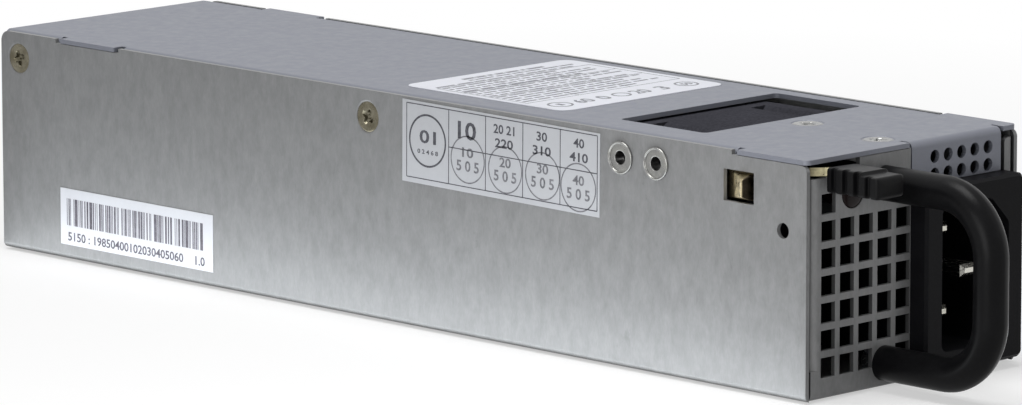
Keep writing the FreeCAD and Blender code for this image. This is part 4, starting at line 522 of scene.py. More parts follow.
CAD_FINISHES: dict[str, object] = {
    "base_chassis": SIDE_SHEET,
    "top_cover": TOP_SHEET,
    "handle_screws": BRIGHT_ZINC,
    "inlet_housing": INLET_BLACK,
    "power_blades": NICKEL,
    "earth_blade": NICKEL,
    "inlet_leads": Moulding((0.05, 0.05, 0.055), 0.4),
    "light_board": PAINTED_SHADE_BOARD,
    "latch_anchor": SPRING_BRONZE,
    "latch_arm": SPRING_BRONZE,
    "fan_frame": FAN_GREY,
    "rotor_magnet": Moulding((0.04, 0.04, 0.042), 0.6),
    "fan_shaft": BRIGHT_ZINC,
    "fan_bearing": Plating((0.55, 0.40, 0.18), (0.50, 0.36, 0.16), 0.4),
    "fan_stator": Winding(),
    "fan_screws": BRIGHT_ZINC,
    "fan_top_bracket": BRACKET_SHEET,
    "fan_bottom_bracket": BRACKET_SHEET,
    "fan_plug": Moulding((0.62, 0.60, 0.52), 0.4),
    "main_board": CircuitBoard(),
    "board_standoffs": BRIGHT_ZINC,
    "board_screws": BRIGHT_ZINC,
    "edge_contacts": GOLD,
    "insulation_film": Moulding((0.03, 0.03, 0.035), 0.3),
    "terminal_block": Moulding((0.04, 0.20, 0.08), 0.4),
    "input_fuse": Moulding((0.66, 0.63, 0.56), 0.25),
    "choke_core": Moulding((0.05, 0.11, 0.08), 0.35),
    "choke_windings": Winding(),
    "choke_base": Moulding((0.03, 0.03, 0.03), 0.4),
    "x_capacitor": Moulding((0.55, 0.40, 0.06), 0.3),
    "y_capacitors": Moulding((0.03, 0.12, 0.36), 0.25, coat=0.5),
    "inrush_relay": Moulding((0.03, 0.03, 0.035), 0.35),
    "boost_choke_core": Moulding((0.20, 0.20, 0.05), 0.4),
    "boost_choke_winding": Winding(),
    "boost_choke_base": Moulding((0.03, 0.03, 0.03), 0.4),
    "bulk_capacitor": Moulding((0.03, 0.03, 0.06), 0.2, coat=0.4),
    "primary_heatsink": RolledSheet((0.56, 0.57, 0.58), Grain.LENGTHWISE, 0.35),
    "power_switches": Moulding((0.025, 0.025, 0.025), 0.45),
    "transformer_core": Moulding((0.05, 0.05, 0.055), 0.55),
    "transformer_bobbin": Moulding((0.60, 0.42, 0.06), 0.25, coat=0.3),
    "standby_transformer": Moulding((0.05, 0.05, 0.055), 0.5),
    "output_capacitors": Moulding((0.02, 0.04, 0.10), 0.25, coat=0.4),
    "control_board": CircuitBoard(),
    "test_label": PAPER,
    "serial_label": WHITE_PAPER,
}


class FinishShop:
    """Keeps one material for each finish."""

    def __init__(self) -> None:
        """Starts with no materials."""
        self._made: dict[object, bpy.types.Material] = {}

    def material(self, finish: object, name: str) -> bpy.types.Material:
        """The material of a finish, built the first time it is asked for.

        Args:
            finish: One of the finish dataclasses.
            name: Name for the material when it is new.

        Returns:
            The material.
        """
        if finish not in self._made:
            self._made[finish] = finish.dress(name)
        return self._made[finish]


SHOP = FinishShop()


# ------------------------------------------------------------------ surfaces
Mesh = tuple[np.ndarray, list]


def quads(rows: int, columns: int, ring_rows: bool = False, ring_columns: bool = False) -> list:
    """Faces of a grid of points, row after row.

    Args:
        rows: Number of rows.
        columns: Points in a row.
        ring_rows: The last row joins the first.
        ring_columns: Each row closes on itself.

    Returns:
        Faces as lists of four indices.
    """
    r = np.arange(rows if ring_rows else rows - 1)
    c = np.arange(columns if ring_columns else columns - 1)
    r, c = np.meshgrid(r, c, indexing="ij")
    r1, c1 = (r + 1) % rows, (c + 1) % columns
    corners = np.stack([r * columns + c, r * columns + c1, r1 * columns + c1, r1 * columns + c], -1)
    return corners.reshape(-1, 4).tolist()


def grid_mesh(points: np.ndarray, ring_rows: bool = False, ring_columns: bool = False) -> Mesh:
    """Mesh of a surface worked out on a grid of rows x columns x 3."""
    rows, columns = points.shape[:2]
    return points.reshape(-1, 3), quads(rows, columns, ring_rows, ring_columns)


def capped(rings: np.ndarray) -> Mesh:
    """Skin through a stack of rings, closed at both ends by a pole in the middle of the end ring."""
    poles = [np.repeat(rings[i].mean(0)[None, None], rings.shape[1], 1) for i in (0, -1)]
    return grid_mesh(np.concatenate([poles[0], rings, poles[1]]), ring_columns=True)


def combined(meshes: Sequence[Mesh]) -> Mesh:
    """Several meshes as one."""
    points, faces, start = [], [], 0
    for verts, polygons in meshes:
        points.append(verts)
        faces += [[index + start for index in polygon] for polygon in polygons]
        start += len(verts)
    return np.concatenate(points), faces


def set_in(mesh: Mesh, origin: Sequence[float], facing: Facing, roll: float = 0.0) -> Mesh:
    """Places a mesh made in (right, up, outward) axes.

    Args:
        mesh: Mesh in its own axes, in metres.
        origin: Where its own origin goes.
        facing: Directions of its axes.
        roll: Turn about the outward axis, in radians, applied first.

    Returns:
        The placed mesh.
    """
    verts, faces = mesh
    turn = np.array([[math.cos(roll), -math.sin(roll), 0], [math.sin(roll), math.cos(roll), 0], [0, 0, 1]])
    axes = np.array(facing.value, dtype=float)
    return verts @ turn.T @ axes + np.asarray(origin, dtype=float), faces


def lathe(profile: np.ndarray, segments: int = 64) -> Mesh:
    """Solid of revolution about the outward axis: radius r(t) and height h(t), turned through 2 pi.

    Args:
        profile: Points (radius, height) from pole to pole, or a closed loop's points.
        segments: Steps round the axis.

    Returns:
        The mesh.
    """
    angle = np.linspace(0, 2 * np.pi, segments, endpoint=False)
    r, h = profile[:, :1], profile[:, 1:]
    points = np.stack([r * np.cos(angle), r * np.sin(angle), h + 0 * angle], -1)
    closed = profile[0, 0] > 1e-9
    return grid_mesh(points, ring_rows=closed, ring_columns=True)


def eased(points: Sequence[Sequence[float]], steps: int = 6) -> np.ndarray:
    """Polyline with its corners rounded by quadratic arcs between the middles of its runs.

    Args:
        points: Corner points.
        steps: Points on each arc.

    Returns:
        The rounded line, with its ends kept.
    """
    p = np.asarray(points, dtype=float)
    middle = (p[:-1] + p[1:]) / 2
    t = np.linspace(0, 1, steps)[:, None]
    arcs = (1 - t) ** 2 * middle[:-1, None] + 2 * t * (1 - t) * p[1:-1, None] + t ** 2 * middle[1:, None]
    return np.concatenate([p[:1], arcs.reshape(-1, p.shape[1]), p[-1:]])


def smooth_step(value: np.ndarray) -> np.ndarray:
    """Cubic ease from 0 to 1."""
    v = np.clip(value, 0, 1)
    return v * v * (3 - 2 * v)


def build(name: str, mesh: Mesh, finish: object, body: str, smooth: float = 35.0,
          replaces: Sequence[str] = ()) -> bpy.types.Object:
    """Makes a piece: closes its seams, turns its faces outward, dresses it and lets it ride.

    Args:
        name: Name of the piece.
        mesh: Points and faces in the frame's metres.
        finish: Its finish.
        body: Body that it rides on.
        smooth: Edges sharper than this angle stay sharp, in degrees.
        replaces: CAD nodes that it stands for.

    Returns:
        The new object.
    """
    data = bpy.data.meshes.new(name)
    data.from_pydata(mesh[0].tolist(), [], mesh[1])
    work = bmesh.new()
    work.from_mesh(data)
    bmesh.ops.remove_doubles(work, verts=work.verts, dist=2e-7)
    bmesh.ops.dissolve_degenerate(work, edges=work.edges, dist=1e-8)
    bmesh.ops.recalc_face_normals(work, faces=work.faces)
    work.to_mesh(data)
    work.free()
    data.polygons.foreach_set("use_smooth", np.ones(len(data.polygons), dtype=bool))
    data.set_sharp_from_angle(angle=math.radians(smooth))
    data.materials.append(SHOP.material(finish, name))
    piece = bpy.data.objects.new(name, data)
    bpy.context.scene.collection.objects.link(piece)
    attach(piece, body)
    if replaces:
        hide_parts(*replaces)
    log.info("%s: %d faces on %s", name, len(data.polygons), body)
    return piece


def corners(node: str) -> tuple[np.ndarray, np.ndarray]:
    """Lowest and highest corner of a CAD node as arrays."""
    low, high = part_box(node)
    return np.array(low), np.array(high)


# ------------------------------------------------------------------ fasteners
@dataclass
class CrossScrews:
    """Countersunk screws with a cross recess, in the walls and in the cover."""

    radius: float = 2.85 * MM
    wing: float = 1.55 * MM
    wing_width: float = 0.46 * MM
    recess: float = 0.85 * MM
    rim: float = 0.22 * MM
    dish: float = 0.10 * MM
    edge_drop: float = 0.18 * MM
    shank: float = 1.5 * MM
    length: float = 4.0 * MM

    def head(self) -> Mesh:
        """Screw whose top is a disc sunk by a cross.

        The top is a shallow dish, dish * (r^2 - 1), whose edge eases down by the edge drop. From it
        comes the recess depth times, for each wing, an ease across its width times an ease along its
        length that gets shallower outward. The sides run down a cone to the shank.

        Returns:
            The mesh, with the outward axis out of the head.
        """
        rings = np.concatenate([np.linspace(0, 0.7, 34), np.linspace(0.72, 0.955, 8)]) * self.radius
        angle = np.linspace(0, 2 * np.pi, 144, endpoint=False)
        x = rings[:, None] * np.cos(angle)
        y = rings[:, None] * np.sin(angle)
        soft = 0.16 * MM
        depth = np.zeros_like(x)
        for a, b in ((x, y), (y, x)):
            reach = np.clip(1 - np.abs(a) / self.wing, 0, 1)
            width = self.wing_width * (0.75 + 0.5 * reach)
            across = smooth_step((width - np.abs(b)) / soft + 0.5)
            along = smooth_step(reach * 3.2) * (0.45 + 0.55 * reach)
            depth = np.maximum(depth, across * along)
        share = rings[:, None] / self.radius
        dome = self.dish * (share ** 2 - 1) - self.edge_drop * smooth_step((share - 0.82) / 0.14)
        top = np.stack([x, y, dome - self.recess * depth], -1)
        side = np.array([[1.0, -self.rim], [0.985, -self.rim * 1.6],
                         [self.shank / self.radius, -0.75 * MM],
                         [self.shank / self.radius, -self.length], [0.0, -self.length]])
        r, h = side[:, :1] * self.radius, side[:, 1:]
        skirt = np.stack([r * np.cos(angle), r * np.sin(angle), h + 0 * angle], -1)
        return grid_mesh(np.concatenate([top, skirt]), ring_columns=True)

    def make(self) -> None:
        """Fits the screws at the places of the CAD screws."""
        low, high = corners("side_screws")
        r = (high[2] - low[2]) / 2
        z = (low[2] + high[2]) / 2
        turns = {Facing.LEFT_WALL: (0.35, 1.05), Facing.RIGHT_WALL: (0.8, 0.2)}
        parts = []
        for facing, x in ((Facing.LEFT_WALL, low[0]), (Facing.RIGHT_WALL, high[0])):
            for y, roll in zip((high[1] - r, low[1] + r), turns[facing]):
                parts.append(set_in(self.head(), (x, y, z), facing, roll))
        build("wall_screws", combined(parts), YELLOW_ZINC, "housing", 30, ("side_screws",))
        low, high = corners("cover_screws")
        top = high[2]
        places = ((low[0] + r, low[1] + r, top), (high[0] - r, high[1] - r, top))
        parts = [set_in(self.head(), place, Facing.TOP, roll) for place, roll in zip(places, (0.5, 0.15))]
        build("top_screws", combined(parts), COVER_ZINC, "housing", 30, ("cover_screws",))


@dataclass
class Eyelets:
    """Hollow rivets: a rolled flange round an open bore."""

    flange: float = 2.8 * MM
    bore: float = 1.15 * MM
    throat: float = 1.55 * MM
    shank: float = 1.6 * MM
    flare: float = 0.6 * MM
    flare_depth: float = 0.4 * MM

    def eyelet(self, proud: float, depth: float) -> Mesh:
        """Closed lathe profile: raised bead, groove, flat ring, rounded throat, bore, flare and shank.

        Args:
            proud: Height of the bead above the wall.
            depth: Depth of the flared end behind the wall's outer face.

        Returns:
            The mesh, with the outward axis out of the bore.
        """
        bead, ring = self.flange - 0.32 * MM, self.flange - 0.62 * MM
        top = [(self.shank, 0.0), (self.flange, 0.0), (self.flange, proud * 0.6),
               (self.flange - 0.12 * MM, proud), (bead, proud), (bead - 0.1 * MM, proud * 0.35),
               (ring, proud * 0.5), (self.throat + 0.1 * MM, proud * 0.62),
               (self.bore + 0.05 * MM, proud * 0.5), (self.bore, proud * 0.1), (self.bore, -0.6 * MM)]
        front = eased(top, 6)
        flared, start = self.shank + self.flare, self.flare_depth - depth
        back = np.array([(self.bore, -depth), (flared, -depth), (flared, start), (self.shank, start)])
        return lathe(np.concatenate([front, back]), 72)

    def make(self) -> None:
        """Sets both eyelets at the places of the CAD rivets."""
        low, high = corners("latch_rivets")
        z = (low[2] + high[2]) / 2
        wall = corners("base_chassis")[0][0]
        one = self.eyelet(wall - low[0], high[0] - wall)
        parts = [set_in(one, (wall, y, z), Facing.LEFT_WALL) for y in
                 (low[1] + self.flange, high[1] - self.flange)]
        build("eyelets", combined(parts), RIVET_METAL, "housing", 40, ("latch_rivets",))


# ------------------------------------------------------------------ handle
@dataclass
class BowHandle:
    """Round bar bent to a bow, coated black, with a faint seam on its outer side."""

    bend: float = 10.0 * MM
    seam: float = 0.03 * MM
    seam_spread: float = 0.06
    straight: int = 8
    around: int = 72

    def make(self) -> None:
        """Sweeps the bar's circle along two arms, two quarter bends and the grip."""
        low, high = corners("handle")
        radius = (high[0] - low[0]) / 2
        x = (low[0] + high[0]) / 2
        front, z0, z1 = high[1], low[2] + radius, high[2] - radius
        reach = front - low[1] - radius
        n = self.straight
        arm = np.linspace(0, reach - self.bend, n)
        turn = np.linspace(0, np.pi / 2, 28)[1:]
        grip = np.linspace(z0 + self.bend, z1 - self.bend, n + 2)[1:-1]
        y = np.concatenate([front - arm, front - (reach - self.bend) - self.bend * np.sin(turn),
                            np.full(n, front - reach)])
        z = np.concatenate([np.full(n, z0), z0 + self.bend * (1 - np.cos(turn)), grip])
        heading = np.concatenate([np.zeros(n), turn, np.full(n, np.pi / 2)])
        y = np.concatenate([y, y[::-1][n:]])
        z = np.concatenate([z, (z0 + z1) - z[::-1][n:]])
        heading = np.concatenate([heading, np.pi - heading[::-1][n:]])
        around = np.linspace(0, 2 * np.pi, self.around, endpoint=False)
        off_seam = np.angle(np.exp(1j * around)) / self.seam_spread
        ridge = radius - self.seam + self.seam * np.exp(-off_seam ** 2)
        outward = np.stack([0 * heading, -np.sin(heading), -np.cos(heading)], -1)
        side = np.array([1.0, 0.0, 0.0])
        centre = np.stack([np.full_like(y, x), y, z], -1)
        ring = (centre[:, None] + (ridge * np.cos(around))[:, None] * outward[:, None]
                + (ridge * np.sin(around))[:, None] * side)
        caps = [np.repeat(centre[i][None, None], self.around, 1) for i in (0, -1)]
        points = np.concatenate([caps[0], ring, caps[1]])
        build("bow_handle", grid_mesh(points, ring_columns=True), BLACK_COAT, "housing", 50,
              ("handle",))


# ------------------------------------------------------------------ release latch
@dataclass
class ReleaseLatch:
    """Spring leaf with its formed catch, and the thumb tab on its neck. Lengths in millimetres."""

    leaf: float = 0.6
    proud: float = 1.6
    neck_height: float = 1.4
    full_height_from: float = 4.4
    neck_bend: float = 2.4
    neck_foot: float = -0.8
    neck_rise: float = 5.4
    catch_span: tuple[float, float] = (12.4, 17.7)
    catch_height: float = 4.2
    catch_top: float = 36.1
    ridge: float = 13.1
    ridge_rise: float = 2.75
    end_slope: float = 2.9
    end_lip: float = 0.6
    blend: float = 0.14
    grooves: int = 4
    groove_start: float = 2.2
    groove_pitch: float = 2.5
    groove_depth: float = 0.7
    groove_share: float = 0.27
    squareness: float = 0.2
    step_at: float = 3.7
    step: float = 0.5
    heel: float = 0.7
    skew: float = 1.0
    edge: float = 0.7

    def spring_leaf(self) -> Mesh:
        """Strip carried along its line in plan: straight, a slope to the neck, and a straight tongue.

        Each station has four corners: half the thickness to both sides of the line, at the strip's
        lower and upper edge. The lower edge steps up where the neck begins.

        Returns:
            The closed mesh.
        """
        low, high = corners("latch_arm")
        front = corners("base_chassis")[0][1]
        x = low[0] + self.ridge_rise * MM + self.leaf * MM / 2
        tongue = low[0] + (self.neck_rise + self.proud - self.leaf / 2) * MM
        step = front + self.full_height_from * MM
        plan = np.array([(x, high[1]), (x, front + self.neck_bend * MM),
                         (tongue, front + self.neck_foot * MM), (tongue, low[1])])
        bends = eased(np.stack([plan[0], plan[1] + (0, 3 * MM), plan[1], (plan[1] + plan[2]) / 2, plan[2],
                                plan[2] - (0, 2 * MM), plan[3]]), 6)
        line = np.concatenate([[bends[0]], [(x, step + 1e-6)], [(x, step)], bends[bends[:, 1] < step - 1e-5]])
        heading = np.gradient(line, axis=0)
        heading = heading / np.linalg.norm(heading, axis=1)[:, None]
        side = np.stack([-heading[:, 1], heading[:, 0]], -1) * self.leaf * MM / 2
        foot = np.where(line[:, 1] > step + 5e-7, low[2], high[2] - self.neck_height * MM)
        ring = [np.column_stack([line + sign * side, z]) for sign, z in
                ((1, foot), (-1, foot), (-1, 0 * foot + high[2]), (1, 0 * foot + high[2]))]
        return capped(np.stack(ring, 1))

    def catch(self) -> Mesh:
        """Formed bump: its height over (y, z) is the soft least of a ramp, a locking face and two ends.

        The soft least of several heights is minus the blend times the logarithm of the sum of the
        exponentials of minus each height over the blend, which rounds the edges between them.

        Returns:
            The closed mesh.
        """
        low, _ = corners("latch_arm")
        front = corners("base_chassis")[0][1] / MM
        base = low[0] / MM + self.ridge_rise
        y0, y1 = self.catch_span
        z1 = self.catch_top
        z0 = z1 - self.catch_height
        y = np.concatenate([np.linspace(y0, self.ridge + 0.5, 44), np.linspace(self.ridge + 0.6, y1, 34)])
        y, z = y[:, None], np.linspace(z0, z1, 72)[None, :]
        ramps = np.stack(np.broadcast_arrays(
            (y - y0) / (self.ridge - y0) * self.ridge_rise, (y1 - y) / (y1 - self.ridge) * self.ridge_rise,
            self.end_lip + (z1 - z) * self.end_slope, self.end_lip + (z - z0) * self.end_slope,
            np.full((1, 1), self.ridge_rise)))
        height = -self.blend * np.log(np.exp(-ramps / self.blend).sum(0))
        skin = np.stack([base - np.clip(height, 0, None), y + front + 0 * z, z + 0 * y], -1) * MM
        back = skin.copy()
        back[..., 0] = (base + 0.1) * MM
        return combined([grid_mesh(skin), grid_mesh(back[::-1]), rim_of(skin, back)])

    def tab(self) -> Mesh:
        """Thumb tab: rounded-rectangle sections along y, pressed in by grip grooves on one side.

        The rear end runs forward towards the right, and the top steps down near the front.

        Returns:
            The closed mesh.
        """
        low, high = corners("latch_tab")
        length = (high[1] - low[1]) / MM - self.heel
        s = np.concatenate([np.linspace(0, 0.06, 9)[:-1], np.linspace(0.06, 0.95, 150),
                            np.linspace(0.95, 1, 7)[1:]])
        around = np.linspace(0, 2 * np.pi, 112, endpoint=False)
        cos, sin = np.cos(around), np.sin(around)
        unit_x = np.sign(cos) * np.abs(cos) ** self.squareness
        unit_z = np.sign(sin) * np.abs(sin) ** self.squareness
        place = s * length
        near = np.minimum(place, 3 * (length - place))
        shrink = np.sqrt(np.clip(1 - (1 - np.clip(near / self.edge, 0, 1)) ** 2, 0, 1))
        size = (high - low) / MM / 2
        half_x = size[0] - self.edge * (1 - shrink)
        half_z = size[2] - self.edge * (1 - shrink)
        phase = (place - self.groove_start) / self.groove_pitch
        inside = (phase > -0.5) & (phase < self.grooves - 0.5)
        pit = np.clip(1 - np.abs(phase - np.round(phase)) / self.groove_share, 0, 1) * inside
        pit = smooth_step(pit * 2.2) * self.groove_depth
        mask = smooth_step((-unit_x - 0.5) / 0.45)
        centre = (low + high) / 2 / MM
        x = centre[0] + half_x[:, None] * unit_x + pit[:, None] * mask
        drop = self.step * smooth_step((self.step_at + 0.4 - place) / 0.5)[:, None] * np.clip(unit_z, 0, 1)
        z = centre[2] + half_z[:, None] * unit_z - drop
        y = low[1] / MM + place[:, None] * (1 - (self.skew - 0.3) * (unit_x + 1) / 2 / length)
        return capped(np.stack([x, y, z], -1) * MM)

    def make(self) -> None:
        """Builds the leaf, its catch and the tab."""
        build("spring_leaf", self.spring_leaf(), SPRING_BRONZE, "latch", 30, ("latch_arm",))
        build("formed_catch", self.catch(), CATCH_BRONZE, "latch", 60)
        build("thumb_tab", self.tab(), TAB_BLACK, "latch", 40, ("latch_tab",))


def rim_of(skin: np.ndarray, back: np.ndarray) -> Mesh:
    """Wall that joins the outlines of two grids of the same size."""
    def outline(grid: np.ndarray) -> np.ndarray:
        """Points round the border of a grid, once."""
        return np.concatenate([grid[0, :-1], grid[:-1, -1], grid[-1, :0:-1], grid[:0:-1, 0]])
    return grid_mesh(np.stack([outline(skin), outline(back)]), ring_columns=True)


# ------------------------------------------------------------------ status light
@dataclass
class StatusLight:
    """Smoked lens with a low dome in front of its barrel and collar."""

    lens: float = 2.5 * MM
    collar_front: float = 0.95 * MM
    collar_back: float = 2.15 * MM

    def make(self) -> None:
        """Turns the dome, barrel and collar from one profile."""
        low, high = corners("status_light")
        panel = corners("base_chassis")[0][1]
        centre = ((low[0] + high[0]) / 2, panel, (low[2] + high[2]) / 2)
        collar = (high[2] - low[2]) / 2
        lens = self.lens
        proud = panel - low[1]
        t = np.linspace(0, np.pi / 2, 14)
        dome = np.stack([lens * np.sin(t), proud * np.cos(t)], -1)
        depth = high[1] - panel
        barrel = np.array([[lens, -self.collar_front], [collar, -self.collar_front],
                           [collar, -self.collar_back], [lens, -self.collar_back],
                           [lens, -depth], [0, -depth]])
        mesh = set_in(lathe(np.concatenate([dome, barrel]), 64), centre, Facing.FRONT)
        build("smoked_lens", mesh, SMOKED_LENS, "housing", 40, ("status_light",))


# ------------------------------------------------------------------ fan
@dataclass
class FanRotor:
    """Moulded rotor: rounded hub with twisted, cambered blades."""

    hub: float = 8.5 * MM
    tip: float = 17.25 * MM
    blades: int = 7
    chord: float = 9.6 * MM
    thickness: float = 1.0 * MM
    cup_wall: float = 0.9 * MM
    cup_floor: float = 1.3 * MM
    pitch: float = 36.0
    pitch_gain: float = 16.0
    camber: float = 0.10
    stretch: float = 1.06
    sweep: float = 0.12
    end_gap: float = 0.8 * MM

    def blade(self, axis: np.ndarray, start: float, stop: float) -> Mesh:
        """Blade skin: at radius r a cambered section turned to a pitch that grows towards the tip.

        Args:
            axis: Point on the rotor's axis.
            start: Front end of the blades along y.
            stop: Rear end.

        Returns:
            The closed mesh.
        """
        r = np.linspace(self.hub - 0.4 * MM, self.tip, 22)[:, None]
        share = (r - self.hub) / (self.tip - self.hub)
        u = np.concatenate([np.linspace(-0.5, 0.5, 18), np.linspace(0.5, -0.5, 18)[1:-1]])[None, :]
        side = np.concatenate([np.ones(18), -np.ones(16)])[None, :]
        skin = side * np.sqrt(np.clip(1 - (2 * u) ** 2, 0, 1)) * self.thickness / 2
        camber = self.camber * self.chord * (1 - (2 * u) ** 2)
        pitch = np.radians(self.pitch + self.pitch_gain * share)
        along = u * self.chord * np.cos(pitch) * self.stretch - (skin + camber) * np.sin(pitch)
        across = u * self.chord * np.sin(pitch) * self.stretch + (skin + camber) * np.cos(pitch)
        angle = across / r + self.sweep * share
        middle = (start + stop) / 2
        limit = (stop - start) / 2
        return capped(np.stack([axis[0] + r * np.sin(angle), middle + np.clip(along, -limit, limit),
                                axis[2] + r * np.cos(angle)], -1))

    def make(self) -> None:
        """Builds the hub and its blades at the CAD rotor's place."""
        low, high = corners("fan_rotor")
        ring = corners("rotor_magnet")
        axis = (ring[0] + ring[1]) / 2
        face, back = low[1], high[1]
        inner, floor = self.hub - self.cup_wall, -self.cup_floor
        profile = eased([(0, 0), (self.hub - 1.2 * MM, 0), (self.hub, 0), (self.hub, -1.4 * MM),
                         (self.hub, face - back), (inner, face - back), (inner, floor), (0, floor)], 6)
        cup = set_in(lathe(profile, 72), (axis[0], face, axis[2]), Facing.FRONT)
        one = self.blade(axis, face + self.end_gap, back - self.end_gap)
        parts = [cup]
        for index in range(self.blades):
            turn = 2 * np.pi * index / self.blades
            c, s = math.cos(turn), math.sin(turn)
            spin = np.array([[c, 0, s], [0, 1, 0], [-s, 0, c]])
            centre = np.array([axis[0], 0, axis[2]])
            parts.append(((one[0] - centre) @ spin.T + centre, one[1]))
        build("rotor_blades", combined(parts), FAN_GREY, "rotor", 40, ("fan_rotor",))


# ------------------------------------------------------------------ labels
@dataclass
class PrintSheet:
    """Marks printed on a flat label, collected in its own (right, up) axes in millimetres."""

    thickness: float = 0.015
    meshes: list[Mesh] = field(default_factory=list)

    def bars(self, boxes: Sequence[Sequence[float]]) -> None:
        """Adds upright or level bars.

        Args:
            boxes: Rows of left, low, right, high.
        """
        b = np.asarray(boxes, dtype=float).reshape(-1, 4)
        x = b[:, [0, 2, 2, 0, 0, 2, 2, 0]]
        y = b[:, [1, 1, 3, 3, 1, 1, 3, 3]]
        z = np.broadcast_to(np.array([0, 0, 0, 0, 1, 1, 1, 1]) * self.thickness, x.shape)
        points = np.stack([x, y, z], -1).reshape(-1, 3)
        faces = np.array([[3, 2, 1, 0], [4, 5, 6, 7], [0, 1, 5, 4], [1, 2, 6, 5], [2, 3, 7, 6], [3, 0, 4, 7]])
        index = (np.arange(len(b)) * 8)[:, None, None] + faces
        self.meshes.append((points, index.reshape(-1, 4).tolist()))

    def ring(self, x: float, y: float, radius: float, width: float, squash: float = 1.0) -> None:
        """Adds a printed circle: a flat band between two radii, with its edge walls.

        Args:
            x: Centre, rightward.
            y: Centre, upward.
            radius: Middle radius.
            width: Width of the line.
            squash: Height over width.
        """
        angle = np.linspace(0, 2 * np.pi, 72, endpoint=False)
        r = np.array([radius - width / 2, radius + width / 2, radius + width / 2, radius - width / 2])
        z = np.array([0, 0, 1, 1]) * self.thickness
        points = np.stack([x + r[:, None] * np.cos(angle), y + squash * r[:, None] * np.sin(angle),
                           np.repeat(z[:, None], 72, 1)], -1)
        self.meshes.append(grid_mesh(points, ring_rows=True, ring_columns=True))

    def figures(self, text: str, x: float, y: float, height: float, width: float) -> None:
        """Adds numerals, centred and stretched to a size.

        Args:
            text: Numerals to print.
            x: Centre, rightward.
            y: Centre, upward.
            height: Height of the line.
            width: Width of the line.
        """
        curve = bpy.data.curves.new("figures", "FONT")
        curve.body = text
        curve.resolution_u = 3
        curve.offset = 0.02
        curve.extrude = 0.5
        holder = bpy.data.objects.new("figures", curve)
        bpy.context.scene.collection.objects.link(holder)
        bpy.context.view_layer.update()
        data = bpy.data.meshes.new_from_object(holder.evaluated_get(
            bpy.context.evaluated_depsgraph_get()))
        points = np.empty(len(data.vertices) * 3)
        data.vertices.foreach_get("co", points)
        points = points.reshape(-1, 3)
        faces = [list(polygon.vertices) for polygon in data.polygons]
        bpy.data.objects.remove(holder)
        bpy.data.meshes.remove(data)
        low, high = points.min(0), points.max(0)
        points = (points - (low + high) / 2) / (high - low)
        points = points * np.array([width, height, self.thickness]) + np.array([x, y, self.thickness / 2])
        self.meshes.append((points, faces))

    def mesh(self) -> Mesh:
        """All marks as one mesh in metres."""
        verts, faces = combined(self.meshes)
        return verts * MM, faces


